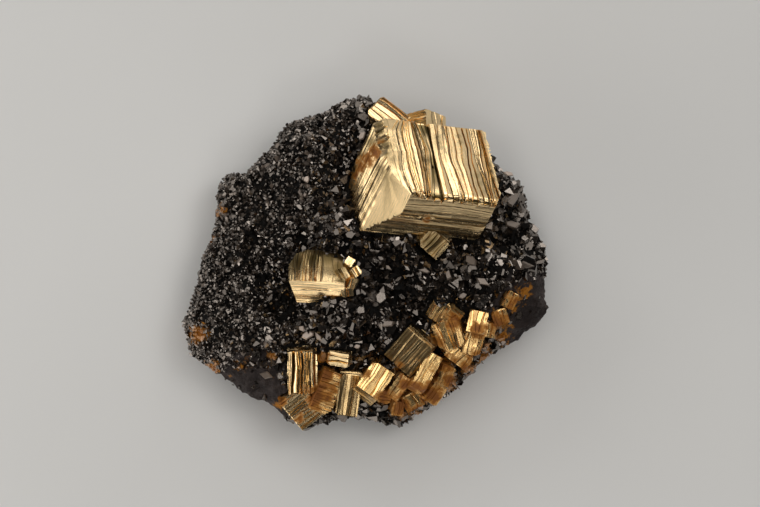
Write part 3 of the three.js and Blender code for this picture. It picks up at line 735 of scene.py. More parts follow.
def cut_crystal(rng, kind):
    """Points and triangles of one crystal, with its farthest point at a distance of 1."""
    work = bmesh.new()
    bmesh.ops.create_cube(work, size=3)
    for direction, far in axes_of(kind, rng) + [(tuple(rng.gauss(0, 1) for _ in range(3)), 0.9) for _ in range(2)]:
        out = Vector(direction).normalized() + Vector([rng.gauss(0, 0.06) for _ in range(3)])
        at = out.normalized() * far * rng.uniform(0.8, 1.2)
        bmesh.ops.bisect_plane(
            work, geom=work.verts[:] + work.edges[:] + work.faces[:], plane_co=at, plane_no=out, clear_outer=True
        )
        bmesh.ops.holes_fill(work, edges=work.edges[:])
    bmesh.ops.recalc_face_normals(work, faces=work.faces)
    bmesh.ops.triangulate(work, faces=work.faces[:])
    points = np.array([v.co[:] for v in work.verts])
    triangles = np.array([[v.index for v in f.verts] for f in work.faces])
    work.free()
    thin = 1.0 if kind == "blade" else rng.uniform(0.4, 0.9)
    points *= np.array([rng.uniform(0.8, 1.2), rng.uniform(0.5, 1.0), thin])
    return points / np.linalg.norm(points, axis=1).max(), triangles


rng = random.Random(9)
KINDS = ["blade", "blade", "blade", "tetra", "tetra", "octa", "dodeca"]  # blades are the commonest
STOCK = [cut_crystal(rng, rng.choice(KINDS)) for _ in range(40)]
print("stock:", len(STOCK), "crystals,", sum(len(t) for _, t in STOCK) // len(STOCK), "triangles each")

# %% [markdown]
# Where they stand matters as much as what they are. On this specimen the crust is fine at the left
# and coarse in the middle and at the right, and thin on two patches of bare host rock. Candidates
# are thrown at the rock's surface, and one is kept if it isn't too close to those already there.

# %% Strew the crystals
def soft_step(value, low, high):
    """0 below low and 1 above high, with a smooth climb between them."""
    t = min(max((value - low) / (high - low), 0), 1)
    return t * t * (3 - 2 * t)


def coarseness(x, y):
    """How coarse the crust is at a place: 0 at the fine upper left, 1 at the coarse lower right."""
    return soft_step(x - 0.35 * y, -20, -2)


def bareness(x, y):
    """Where the rock is bare, as a share from 0 to 1. There are two such spots."""
    right = soft_step(8.0 - math.hypot((x - 34) * 0.9, (y + 11) * 0.8), 0, 2)
    left = soft_step(8.5 - math.hypot((x + 24) * 0.75, (y + 27.5) * 1.1), 0, 2)
    return max(right, left)


def surface_darts(count, seed):
    """Random points on the measured rock's surface, spread evenly over its area, and the normals there."""
    mesh = rock_node.data
    mesh.calc_loop_triangles()
    corners = np.array([t.vertices[:] for t in mesh.loop_triangles])
    at = read(mesh.vertices, "co", width=3)[corners] / MM
    cross = np.cross(at[:, 1] - at[:, 0], at[:, 2] - at[:, 0])
    area = np.linalg.norm(cross, axis=1)
    throw = np.random.default_rng(seed)
    chosen = throw.choice(len(at), count, p=area / area.sum())
    u, v = throw.random((2, count))
    over = u + v > 1
    u, v = np.where(over, 1 - u, u), np.where(over, 1 - v, v)
    first, second, third = at[chosen].transpose(1, 0, 2)
    spots = first + u[:, None] * (second - first) + v[:, None] * (third - first)
    return spots, cross[chosen] / area[chosen, None]


# Painted glints: spots where the crust's tone is raised, so that more crystals there show pale, lit facets.
PAINTED_GLINT_SPOTS = [  # x, y, radius and amount
    (-26.4, -13.3, 3.0, 1.0), (-25.2, 13.1, 3.4, 1.0), (19.2, -0.1, 2.8, 0.8), (-12.0, 16.4, 3.0, 0.8),
    (-28.0, -3.0, 3.0, 0.8), (-12.0, 26.0, 3.0, 0.8), (-17.5, 9.5, 2.0, 0.6), (12.5, -4.5, 2.4, 0.8),
    (2.5, -8.5, 2.4, 0.6), (29.5, 16.5, 2.4, 0.8), (-23.0, -18.0, 3.0, 0.7), (-5.0, 9.5, 2.0, 0.5),
    (31.0, 8.0, 2.6, 0.6), (-6.0, 26.0, 2.4, 0.8), (-19.5, -24.5, 2.5, 0.7),
]


LARGE_SHARE = 0.14  # the first darts carry large crystals
CLOSEST = 0.29  # least distance of two neighbours, as a share of their sizes taken together
CELL = 1.7  # millimetres, the size of a grid cell in which neighbours are looked up
STEPS = (-1, 0, 1)


def strew(darts, seed):
    """Rows of place, size and tone, large crystals first."""
    rng, grid, kept = random.Random(seed), {}, []
    for i, (spot, normal) in enumerate(zip(*surface_darts(darts, seed))):
        x, y, z = spot
        if normal[2] < -0.4 or z < 0.8 or rng.random() < 0.98 * bareness(x, y):
            continue
        rough = coarseness(x, y)
        large = i < LARGE_SHARE * darts
        if not large and rng.random() < 0.55 * rough:
            continue
        small_sizes, large_sizes = (0.32 + 0.1 * rough, 0.6 + 0.3 * rough), (0.6 + 0.5 * rough, 1.0 + 0.9 * rough)
        least, most = large_sizes if large else small_sizes
        size = least + (most - least) * rng.random() ** 1.4
        cell = (int(x // CELL), int(y // CELL), int(z // CELL))
        near = [
            p for a in STEPS for b in STEPS for c in STEPS
            for p in grid.get((cell[0] + a, cell[1] + b, cell[2] + c), ())
        ]
        if any(math.dist(p[:3], (x, y, z)) < CLOSEST * (size + p[3]) for p in near):
            continue
        if pyrite_tree.find_nearest(Vector(spot), 0.3)[0] is not None:
            continue
        hollow = bumps(x, y, HOLLOWS) * max(normal[2], 0)
        # The tone holds painted light: lower in hollows and on small crystals as painted shade, higher at the glint
        # spots as painted glints.
        tone_and_painted_light = rng.random() * (1 - 0.75 * hollow) * (1 - 0.2 * rough) * (1.0 if large else 0.85)
        tone_and_painted_light += 0.15 * bumps(x, y, PAINTED_GLINT_SPOTS)
        grid.setdefault(cell, []).append((x, y, z, size))
        sunk = 0.3 * size + 0.1 + 0.5 * rng.random() + 1.8 * hollow
        kept.append((spot - normal * sunk, size, min(tone_and_painted_light, 0.95)))
    return kept


strewn = strew(60000, 17)
print("crystals in the crust:", len(strewn))

# %% [markdown]
# Each crystal also gets a tone, one number for the whole crystal. The finish turns it into a slightly
# different depth of black and a different polish, which keeps the crust from looking cast in one. The
# tone also carries painted light: it is lowered in the hollows and for small crystals, as painted
# shade, and raised at the glint spots, as painted glints.

# %% Write the crystals into meshes
def random_turns(count, throw):
    """Rotation matrices that are spread evenly over all turns."""
    q = throw.normal(size=(count, 4))
    w, x, y, z = (q / np.linalg.norm(q, axis=1, keepdims=True)).T
    rows = [
        [1 - 2 * (y * y + z * z), 2 * (x * y - z * w), 2 * (x * z + y * w)],
        [2 * (x * y + z * w), 1 - 2 * (x * x + z * z), 2 * (y * z - x * w)],
        [2 * (x * z - y * w), 2 * (y * z + x * w), 1 - 2 * (x * x + y * y)],
    ]
    return np.stack([np.stack(row, axis=-1) for row in rows], axis=-2)


def mesh_of_triangles(name, points, triangles, tone_and_painted_light):
    """One object of many crystals, with a tone for each of its points."""
    mesh = bpy.data.meshes.new(name)
    mesh.vertices.add(len(points))
    mesh.vertices.foreach_set("co", (points * MM).reshape(-1))
    mesh.loops.add(triangles.size)
    mesh.loops.foreach_set("vertex_index", triangles.reshape(-1))
    mesh.polygons.add(len(triangles))
    mesh.polygons.foreach_set("loop_start", np.arange(0, triangles.size, 3))
    mesh.update(calc_edges=True)
    mesh.shade_flat()
    mesh.attributes.new("tone_and_painted_light", "FLOAT", "POINT").data.foreach_set("value", tone_and_painted_light.astype(np.float32))
    return link_new(name, mesh)


def write_crystals(name, crystals, seed):
    """Puts a randomly turned crystal from the stock at every place."""
    throw = np.random.default_rng(seed)
    places = np.array([c[0] for c in crystals])
    sizes = np.array([c[1] for c in crystals])
    kinds = throw.integers(len(STOCK), size=len(crystals))
    turns, tones_and_painted_light = random_turns(len(crystals), throw), np.array([c[2] for c in crystals])
    points, triangles, tone_and_painted_light, start = [], [], [], 0
    for kind, (shape, faces) in enumerate(STOCK):
        here = np.flatnonzero(kinds == kind)
        placed = np.einsum("nij,vj->nvi", turns[here], shape) * sizes[here, None, None] + places[here, None, :]
        points.append(placed.reshape(-1, 3))
        offsets = start + np.arange(len(here)) * len(shape)
        triangles.append((faces[None] + offsets[:, None, None]).reshape(-1, 3))
        tone_and_painted_light.append(np.repeat(tones_and_painted_light[here], len(shape)))
        start += len(here) * len(shape)
    return mesh_of_triangles(name, np.concatenate(points), np.concatenate(triangles), np.concatenate(tone_and_painted_light))


order = sorted(strewn, key=lambda c: c[0][0] - 0.35 * c[0][1])
crust = []
for i, side in enumerate(("far_left", "left", "middle", "right", "far_right")):
    part = order[i * len(order) // 5:(i + 1) * len(order) // 5]
    crust.append(write_crystals(f"crust_{side}", part, 60 + i))
    print(crust[-1].name, len(crust[-1].data.polygons), "triangles")

# %% [markdown]
# A few crystals and flakes stand out in the photograph by their size or by a flat face that catches
# the light. They are placed one by one: where they are, which way the flat face looks, how long and
# wide they are, and their tone.

# %% Landmark crystals
# The last column is painted light: a high tone paints a broad face that catches the light pale, and a low tone paints
# a face in shade black.
LANDMARKS = [  # place, direction of the broad face, spin, length, width and depth, tone
    ((30.4, -0.6), (-0.5, -0.1, 0.86), 70, (7.4, 2.8, 1.4), 0.88),
    ((32.7, -0.2), (0.58, 0.05, 0.81), 76, (7.0, 3.4, 1.3), 0.05),
    ((-11.8, -14.4), (-0.1, 0.3, 0.95), 10, (2.9, 1.8, 0.9), 0.98),
    ((-9.6, -14.8), (0.2, 0.35, 0.9), -20, (2.6, 1.5, 0.9), 0.98),
    ((-12.9, -13.2), (-0.35, 0.2, 0.9), 50, (2.0, 1.2, 0.9), 0.97),
    ((-20.2, -22.6), (-0.3, -0.1, 0.95), 65, (3.4, 1.9, 0.8), 0.92),
    ((28.6, 17.8), (0.1, 0.3, 0.95), 10, (2.2, 1.3, 0.9), 0.98),
    ((-12.0, 16.8), (-0.2, 0.35, 0.9), 70, (1.7, 1.2, 0.9), 0.97),
    ((20.8, 0.4), (-0.3, 0.2, 0.93), 75, (3.4, 2.2, 1.4), 0.9),
    ((29.3, 7.8), (0.1, 0.35, 0.93), -10, (3.2, 2.0, 1.2), 0.89),
    ((29.4, 12.8), (0.2, 0.3, 0.93), 80, (4.0, 2.4, 1.4), 0.88),
    ((23.6, -3.9), (0.1, 0.25, 0.96), -8, (3.8, 1.8, 1.0), 0.94),
    ((16.4, -2.3), (-0.15, 0.3, 0.94), 40, (2.6, 2.0, 1.0), 0.94),
    ((11.7, -1.6), (-0.1, 0.3, 0.95), -20, (2.8, 1.4, 1.0), 0.95),
    ((12.8, 0.6), (0.2, 0.3, 0.93), 30, (1.8, 1.6, 1.0), 0.94),
    ((4.5, -0.9), (0.1, 0.3, 0.95), -15, (2.2, 1.0, 0.8), 0.94),
    ((4.2, -12.2), (-0.2, 0.3, 0.93), -25, (3.0, 1.5, 1.0), 0.9),
    ((-1.8, -16.7), (0.1, 0.3, 0.95), 25, (2.0, 1.1, 0.8), 0.97),
    ((-0.9, 25.6), (-0.2, 0.3, 0.93), 35, (2.4, 1.5, 1.0), 0.98),
    ((19.4, -6.6), (0.3, 0.2, 0.93), 80, (3.0, 1.4, 1.0), 0.9),
]


def landmark(i, spot, facing, spin, size, tone_and_painted_light):
    """A flat-topped crystal whose broad face looks the given way."""
    rng = random.Random(500 + i)
    sides = rng.choice([4, 5, 6])
    angles = [2 * math.pi * (k + rng.uniform(-0.3, 0.3)) / sides for k in range(sides)]
    reach = [rng.uniform(0.65, 1.15) for k in range(sides)]
    ring = [(r * math.cos(a), r * math.sin(a)) for r, a in zip(reach, angles)]
    top = [(0.8 * x, 0.8 * y, 0.0) for x, y in ring]
    waist = [(x, y, -0.3) for x, y in ring]
    points = np.array(top + waist + [(0.0, 0.0, -1.6)])
    triangles = [(0, k, k + 1) for k in range(1, sides - 1)]
    for k in range(sides):
        n = (k + 1) % sides
        triangles += [(k, k + sides, n + sides), (k, n + sides, n), (k + sides, 2 * sides, n + sides)]
    points = points * np.array([size[0] / 2, size[1] / 2, size[2]])
    turn = Vector(facing).to_track_quat("Z", "Y").to_matrix() @ Matrix.Rotation(math.radians(spin), 3, "Z")
    down = rock_tree.ray_cast(Vector((*spot, 60)), Vector((0, 0, -1)))[0]
    down = down or rock_tree.find_nearest(Vector((*spot, 20)))[0]  # a spot just past the rim
    points = points @ np.array(turn).T + np.array([*spot, down.z + 0.6 * size[2]])
    return points, np.array(triangles), np.full(len(points), tone_and_painted_light)


def make_landmarks():
    """Joins all landmark crystals into one piece."""
    points, triangles, tone_and_painted_light, start = [], [], [], 0
    for i, row in enumerate(LANDMARKS):
        p, t, s = landmark(i, *row)
        points.append(p)
        triangles.append(t + start)
        tone_and_painted_light.append(s)
        start += len(p)
    piece = mesh_of_triangles("crust_landmarks", *(np.concatenate(part) for part in (points, triangles, tone_and_painted_light)))
    outward(piece.data)
    return piece


crust.append(make_landmarks())
print("landmark crystals:", len(LANDMARKS))

# %% [markdown]
# ## Rust and tarnish
# Iron has weathered out of the pyrite here and there and stained it orange, and elsewhere a dark
# olive film lies on the metal. The rough places of both are painted as masks on the points of each
# piece, and the finishes break up their edges. Painting once for all pieces lets one stain run over
# from a crystal onto the rock, as real rust does.

# %% Paint the rust and the film
BARE = [(34, -11, 9.5, 1.0), (-24, -27.5, 10.0, 1.0)]
CUBE_STAINS = [
    (3.0, 24.0, 1.2, 0.8), (1.8, 22.2, 1.6, 1.0), (0.2, 20.6, 1.8, 1.0), (-1.2, 19.2, 1.7, 1.0),
    (-2.2, 17.8, 1.5, 0.9), (-2.8, 15.6, 1.2, 0.6), (12.2, 8.5, 0.9, 1.0),
]

STAINS = [  # x, y, radius, strength
    (-33.8, -14.5, 2.2, 1.0), (-30.8, -21.3, 1.8, 1.0), (-31.8, 4.9, 2.0, 0.7), (-29.2, 10.5, 1.6, 0.7),
    (-18.8, -18.9, 1.2, 0.9), (-16.8, -27.9, 1.5, 0.9), (-13.4, -31.5, 1.3, 0.9), (-9.6, -26.5, 2.6, 1.0),
    (-8.2, -22.4, 1.8, 1.0), (-8.4, -19.0, 1.4, 0.9), (0.2, -22.3, 1.4, 0.8), (3.6, -26.6, 2.0, 0.8),
    (22.6, -13.2, 1.8, 0.9), (17.8, -12.2, 1.8, 0.8), (9.0, -24.6, 2.2, 0.9), (12.8, -26.0, 2.6, 1.0),
    (17.2, -24.4, 2.4, 0.9), (20.4, -21.4, 2.2, 0.9), (10.4, -29.8, 1.8, 0.8), (23.6, -18.8, 2.0, 0.8),
    (27.6, -15.0, 1.8, 0.8), (31.6, -5.8, 1.6, 0.8), (14.2, -15.6, 1.6, 0.7), (1.8, -19.6, 1.4, 0.6),
    (16.0, -20.6, 2.2, 0.8), (26.4, -12.0, 2.2, 0.9), (29.4, -8.2, 2.0, 0.8), (7.0, -29.0, 2.4, 0.9),
    (6.4, -20.8, 1.6, 0.8), (-12.6, -12.8, 1.2, 0.5), (24.0, -17.0, 2.0, 0.7), (-25.0, -20.0, 2.0, 0.4),
]

FILMS = [
    (4.0, 21.7, 0.9, 1.0), (3.5, 23.9, 0.9, 1.0), (3.0, 26.0, 0.9, 1.0), (2.6, 27.5, 0.9, 1.0),
    (1.0, 24.0, 1.5, 0.9), (-1.0, 21.6, 1.4, 0.8), (-2.6, 18.8, 1.8, 0.9), (-2.6, 15.6, 1.4, 0.8),
    (4.4, 23.2, 1.6, 0.8), (3.0, 18.4, 1.9, 0.75), (4.4, 17.0, 1.5, 0.75), (1.4, 15.6, 1.2, 0.5),
    (5.2, 20.4, 1.0, 0.8), (-7.6, 0.8, 2.9, 1.0), (-5.8, -0.9, 2.0, 1.0), (-10.6, 1.2, 2.9, 1.0),
    (-13.8, 0.2, 2.8, 0.95), (13.0, 20.4, 0.9, 0.8), (14.2, 25.0, 0.8, 0.8), (14.5, 24.0, 0.8, 0.8),
    (14.7, 23.1, 0.7, 0.7), (18.4, 25.3, 0.6, 0.7), (18.8, 24.1, 0.6, 0.7), (24.9, 19.6, 0.6, 0.7),
    (25.3, 18.2, 0.7, 0.8), (25.8, 16.8, 0.6, 0.7), (22.3, 17.4, 0.8, 0.7), (22.9, 15.8, 0.9, 0.7),
    (23.6, 14.2, 0.9, 0.6), (13.2, 4.0, 3.6, 0.9), (8.6, 4.4, 3.0, 0.7), (4.4, 5.4, 3.0, 0.7),
    (19.6, 6.0, 3.0, 0.5),
]


def paint(piece, name, spots):
    """Stores a mask on the points: soft round spots, seen from above."""
    mesh = piece.data
    at = read(mesh.vertices, "co", width=3)[:, :2] / MM
    amount = np.zeros(len(at))
    for x, y, radius, strength in spots:
        far = np.hypot(at[:, 0] - x, at[:, 1] - y) / radius
        amount = np.maximum(amount, strength * np.exp(-far ** 2))
    mesh.attributes.new(name, "FLOAT", "POINT").data.foreach_set("value", amount.astype(np.float32))


for piece in [*crust, rock]:
    paint(piece, "rust", STAINS)
for piece in pyrite.values():
    paint(piece, "rust", STAINS + CUBE_STAINS)
    paint(piece, "film", FILMS)
paint(rock, "bare", BARE)
bare = rock.data.attributes["bare"].data
for point, vertex in zip(bare, rock.data.vertices):
    point.value = max(point.value, min(1, 2.5 - vertex.co.z / MM / 2))  # the rim below the crust is bare too
print("stains:", len(STAINS), "films:", len(FILMS))

# %% [markdown]
# ## Finishes
# Pyrite is a metal to the eye: pale brass where it is clean, olive where a furrow is tarnished, and
# orange to red-brown where it has rusted. Node groups hold the effects that the finishes share, so
# each finish is the same recipe with its own amounts. These helpers keep the recipes short.

# %% Helpers for shader nodes
def feed(tree, socket, value):
    """Links a socket to another node, or sets it to a plain value."""
    if isinstance(value, bpy.types.NodeSocket):
        tree.links.new(value, socket)
    elif value is not None:
        socket.default_value = value


def add(tree, kind, values=None, **settings):
    """Adds a shader node, with settings by name and inputs by name."""
    node = tree.nodes.new("ShaderNode" + kind)
    for key, value in settings.items():
        setattr(node, key, value)
    for key, value in (values or {}).items():
        feed(tree, node.inputs[key], value)
    return node


def use(tree, group, values=None):
    """Adds a group to a material, with inputs by name."""
    node = tree.nodes.new("ShaderNodeGroup")
    node.node_tree = group
    for key, value in (values or {}).items():
        feed(tree, node.inputs[key], value)
    return node


def compute(tree, operation, *values, clamp=False):
    """The output of a Math node."""
    node = add(tree, "Math", operation=operation, use_clamp=clamp)
    for socket, value in zip(node.inputs, values):
        feed(tree, socket, value)
    return node.outputs[0]


def mixed(tree, share, a, b):
    """Colour a, turning into colour b as share goes from 0 to 1."""
    node = add(tree, "Mix", data_type="RGBA")
    for socket, value in zip((node.inputs[0], node.inputs[6], node.inputs[7]), (share, a, b)):
        feed(tree, socket, value)
    return node.outputs[2]


def ramp(tree, value, low, high, to_low=0.0, to_high=1.0):
    """A smooth rise from to_low at low to to_high at high."""
    values = {"Value": value, "From Min": low, "From Max": high, "To Min": to_low, "To Max": to_high}
    return add(tree, "MapRange", values, interpolation_type="SMOOTHSTEP").outputs["Result"]


def new_group(name, inputs, outputs):
    """An empty group. inputs and outputs are rows of name, kind and starting value."""
    group = bpy.data.node_groups.new(name, "ShaderNodeTree")
    for side, rows in (("INPUT", inputs), ("OUTPUT", outputs)):
        for label, kind, *start in rows:
            socket = group.interface.new_socket(label, in_out=side, socket_type="NodeSocket" + kind)
            if start:
                socket.default_value = start[0]
    return group, group.nodes.new("NodeGroupInput").outputs, group.nodes.new("NodeGroupOutput").inputs


def object_noise(tree, scale, detail=4.0, roughness=0.55):
    """Cloudy noise fixed to the object. scale is cells a metre."""
    at = add(tree, "TexCoord").outputs["Object"]
    given = {"Vector": at, "Scale": scale, "Detail": detail, "Roughness": roughness}
    return add(tree, "TexNoise", given).outputs["Fac"]


# %% [markdown]
# The first group draws the hair-fine lines that run along every rib. It stretches a noise along the
# grain that each crystal noted, so the lines follow each face's own direction.

# %% Group: fine lines along the ribs
def fine_lines_group():
    group, given, result = new_group(
        "fine lines along the ribs",
        [("Lines per mm", "Float", 4.0), ("Length mm", "Float", 6.0)],
        [("Lines", "Float"), ("Sunk mm", "Float")],
    )
    parts = add(group, "SeparateXYZ", {"Vector": add(group, "Attribute", attribute_name="grain").outputs["Vector"]})
    across = compute(group, "MULTIPLY", parts.outputs["X"], given["Lines per mm"])
    along = compute(group, "DIVIDE", parts.outputs["Y"], given["Length mm"])
    stretched = add(group, "CombineXYZ", {"X": across, "Y": along})
    lines = add(group, "TexNoise", {"Vector": stretched.outputs[0], "Scale": 1.0, "Detail": 3.0, "Roughness": 0.65})
    group.links.new(lines.outputs["Fac"], result["Lines"])
    group.links.new(parts.outputs["Z"], result["Sunk mm"])
    return group


FINE_LINES = fine_lines_group()
print("group:", FINE_LINES.name)

# %% [markdown]
# The second is tarnish, an olive-brown film that gathers in the furrows, in streaks and in patches.

# %% Group: tarnish
def tarnish_group():
    group, given, result = new_group(
        "tarnish",
        [
            ("Clean", "Color", (0.8, 0.66, 0.4, 1)), ("Tarnished", "Color", (0.2, 0.16, 0.07, 1)),
            ("Lines", "Float", 0.5), ("Sunk mm", "Float", 0.0), ("Furrow mm", "Float", 0.3), ("Patches", "Float", 0.3),
        ],
        [("Color", "Color"), ("Tarnish", "Float")],
    )
    cloud = object_noise(group, 330.0)
    depth = compute(group, "DIVIDE", given["Sunk mm"], given["Furrow mm"], clamp=True)
    furrow = ramp(group, depth, 0.4, 1.0, 0.0, 0.95)
    streak = ramp(group, given["Lines"], 0.57, 0.67, 0.0, 0.7)
    patch = compute(group, "MULTIPLY", ramp(group, cloud, 0.42, 0.7), given["Patches"])
    specks = ramp(group, object_noise(group, 2300.0, 2.0), 0.69, 0.76, 0.0, 0.8)
    painted = add(group, "Attribute", attribute_name="film").outputs["Fac"]
    painted = compute(group, "MULTIPLY", painted, ramp(group, cloud, 0.2, 0.5, 0.7, 1.0))
    film = compute(group, "MAXIMUM", compute(group, "MAXIMUM", furrow, patch), streak)
    film = compute(group, "MAXIMUM", compute(group, "MAXIMUM", specks, painted), film)
    group.links.new(mixed(group, film, given["Clean"], given["Tarnished"]), result["Color"])
    group.links.new(film, result["Tarnish"])
    return group


TARNISH = tarnish_group()
print("group:", TARNISH.name)

# %% [markdown]
# The third is rust. It takes a colour, lays the stain over it where the painted mask says, ochre
# where it is thin and red-brown where it is thick, and tells the finish how much rust there is.

# %% Group: rust stain
def rust_group():
    group, given, result = new_group(
        "rust stain",
        [("Color", "Color", (1, 1, 1, 1)), ("Cells per m", "Float", 500.0), ("Everywhere", "Float", 0.0)],
        [("Color", "Color"), ("Rust", "Float")],
    )
    cloud = object_noise(group, given["Cells per m"], 6.0, 0.65)
    painted = add(group, "Attribute", attribute_name="rust").outputs["Fac"]
    reach = compute(group, "ADD", painted, given["Everywhere"])
    reach = compute(group, "ADD", reach, compute(group, "MULTIPLY_ADD", cloud, 2.6, -1.62))
    rust = ramp(group, reach, 0.05, 0.45)
    stain = mixed(group, ramp(group, reach, 0.25, 0.8), (0.48, 0.195, 0.022, 1), (0.24, 0.078, 0.008, 1))
    group.links.new(mixed(group, rust, given["Color"], stain), result["Color"])
    group.links.new(rust, result["Rust"])
    return group


RUST = rust_group()
print("group:", RUST.name)

# %% [markdown]
# A finish places the groups, wires them to one metal shader and sets its amounts. The fine lines
# also drive a bump, because they are cut into the metal as well as coloured.

# %% Pyrite finishes
def empty_material(name):
    """A material with a Principled shader and nothing else."""
    material = bpy.data.materials.new(name)
    material.use_nodes = True
    tree = material.node_tree
    tree.nodes.clear()
    shader = tree.nodes.new("ShaderNodeBsdfPrincipled")
    tree.links.new(shader.outputs[0], tree.nodes.new("ShaderNodeOutputMaterial").inputs["Surface"])
    return material, tree, shader


def pyrite_finish(name, clean, tarnished, patches, furrow, rust_everywhere, polish):
    """Brassy metal: fine lines, tarnish in patches and furrows, and rust on top."""
    material, tree, shader = empty_material(name)
    lines = use(tree, FINE_LINES)
    film = use(tree, TARNISH, {
        "Clean": clean, "Tarnished": tarnished, "Lines": lines.outputs["Lines"], "Sunk mm": lines.outputs["Sunk mm"],
        "Furrow mm": furrow, "Patches": patches,
    })
    stain = use(tree, RUST, {"Color": film.outputs["Color"], "Everywhere": rust_everywhere})
    rust = stain.outputs["Rust"]
    feed(tree, shader.inputs["Base Color"], stain.outputs["Color"])
    feed(tree, shader.inputs["Metallic"], compute(tree, "MULTIPLY_ADD", rust, -0.75, 1.0))
    rough = compute(tree, "MULTIPLY_ADD", film.outputs["Tarnish"], 0.12, polish)
    feed(tree, shader.inputs["Roughness"], compute(tree, "MULTIPLY_ADD", rust, 0.35, rough))
    relief = add(tree, "Bump", {"Height": lines.outputs["Lines"], "Strength": 0.35, "Distance": 0.08 * MM})
    feed(tree, shader.inputs["Normal"], relief.outputs[0])
    return material


BRASS = pyrite_finish("brass pyrite", (0.95, 0.705, 0.385, 1), (0.16, 0.115, 0.042, 1), 0.15, 0.5, 0.0, 0.2)
AMBER = pyrite_finish("amber pyrite", (0.90, 0.60, 0.26, 1), (0.24, 0.12, 0.03, 1), 0.5, 0.35, 0.2, 0.24)
GOLDEN = pyrite_finish("golden pyrite", (0.76, 0.51, 0.22, 1), (0.22, 0.12, 0.03, 1), 0.4, 0.4, 0.1, 0.24)
# The brown finish is the brown crystal's own colour, and on shadow_cube it is painted shade: a darker copy of the
# pyrite where that cube lies in shade.
BROWN_AND_SHADE = pyrite_finish("brown pyrite", (0.66, 0.47, 0.23, 1), (0.12, 0.07, 0.022, 1), 0.6, 0.3, 0.08, 0.26)
amber = ("amber_ribbed_cube", "amber_plate", "ridge_cubes", "lower_cubelets", "rusty_crust", "right_tip_cubes")
brown_and_shaded = ("brown_ribbed_cube", "shadow_cube")
golden = ("bright_cube", "tan_cube")
for name, piece in pyrite.items():
    finish = AMBER if name in amber else BROWN_AND_SHADE if name in brown_and_shaded else GOLDEN if name in golden else BRASS
    piece.data.materials.clear()
    piece.data.materials.append(finish)
print("finishes:", BRASS.name, GOLDEN.name, AMBER.name, BROWN_AND_SHADE.name)

# %% [markdown]
# The black crystals are glassy rather than metallic. What makes them sparkle is a high index of
# refraction, which is set on the shader itself, with a slightly warm tint. Their tone picks the depth
# of black and the polish, darker in the hollows as painted shade, and the lightest ones turn a dull
# grey-beige: partly a paler tone, partly a painted highlight on facets that catch the light.

# %% Black crystal finish
def black_crystal_finish():
    """Dark, glossy crystals with a little dust."""
    material, tree, shader = empty_material("black crystal")
    tone_and_painted_light = add(tree, "Attribute", attribute_name="tone_and_painted_light").outputs["Fac"]
    dust = object_noise(tree, 1500.0, 5.0)
    # Painted shade and highlight: tone darkens the black in hollows, and the two pale colours paint lit facets, partly
    # a paler tone.
    base = mixed(tree, ramp(tree, tone_and_painted_light, 0.2, 1.0), (0.004, 0.0034, 0.003, 1), (0.020, 0.014, 0.010, 1))
    pale = mixed(tree, ramp(tree, tone_and_painted_light, 0.86, 0.9), base, (0.11, 0.083, 0.064, 1))
    pale = mixed(tree, ramp(tree, tone_and_painted_light, 0.955, 0.965), pale, (0.42, 0.335, 0.28, 1))
    dusty = mixed(tree, ramp(tree, dust, 0.58, 0.8, 0.0, 0.3), pale, (0.06, 0.043, 0.03, 1))
    stain = use(tree, RUST, {"Color": dusty, "Everywhere": -0.1})
    feed(tree, shader.inputs["Base Color"], stain.outputs["Color"])
    rough = ramp(tree, tone_and_painted_light, 0.0, 1.0, 0.07, 0.3)
    rough = compute(tree, "ADD", rough, ramp(tree, dust, 0.45, 0.8, 0.0, 0.15))
    feed(tree, shader.inputs["Roughness"], compute(tree, "MULTIPLY_ADD", stain.outputs["Rust"], 0.4, rough))
    shader.inputs["IOR"].default_value = 2.37
    shader.inputs["Specular Tint"].default_value = (1.0, 0.88, 0.78, 1)
    relief = add(tree, "Bump", {"Height": object_noise(tree, 4000.0, 3.0), "Strength": 0.15, "Distance": 0.05 * MM})
    feed(tree, shader.inputs["Normal"], relief.outputs[0])
    return material


BLACK = black_crystal_finish()
for piece in crust:
    piece.data.materials.append(BLACK)
print("finish:", BLACK.name)

# %% [markdown]
# The host rock under the crust is dull, dark and brownish, with rusty spots and pale grains.

# %% Host rock finish
def host_rock_finish():
    """Dark rock that is paler and speckled where it is bare."""
    material, tree, shader = empty_material("host rock")
    large, small = object_noise(tree, 260.0, 6.0), object_noise(tree, 2400.0, 4.0)
    bare = add(tree, "Attribute", attribute_name="bare").outputs["Fac"]
    base = mixed(tree, ramp(tree, large, 0.35, 0.7), (0.026, 0.020, 0.019, 1), (0.06, 0.047, 0.044, 1))
    base = mixed(tree, ramp(tree, bare, 0.2, 0.5), (0.0045, 0.0038, 0.0032, 1), base)
    speckle = compute(tree, "MULTIPLY", ramp(tree, small, 0.6, 0.72, 0.0, 0.4), bare)
    grains = mixed(tree, speckle, base, (0.11, 0.085, 0.07, 1))
    stain = use(tree, RUST, {"Color": grains, "Everywhere": 0.05})
    feed(tree, shader.inputs["Base Color"], stain.outputs["Color"])
    feed(tree, shader.inputs["Roughness"], ramp(tree, small, 0.3, 0.7, 0.45, 0.85))
    shader.inputs["Specular IOR Level"].default_value = 0.15
    relief = add(tree, "Bump", {"Height": small, "Strength": 0.9, "Distance": 0.4 * MM})
    feed(tree, shader.inputs["Normal"], relief.outputs[0])
    return material


HOST_ROCK = host_rock_finish()
rock.data.materials.clear()
rock.data.materials.append(HOST_ROCK)
print("finish:", HOST_ROCK.name)

# %% [markdown]
# ## Hang the pieces on the body
# Every piece rides on the specimen's one body, and the measured solid that it stands in for is hidden.

# %% Ride, and hide the solids
for name, piece in pyrite.items():
    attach(piece, "root")
    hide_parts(name)
for piece in [rock, *crust]:
    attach(piece, "root")
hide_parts("black_matrix")
print("pieces:", len(pyrite) + 1 + len(crust))

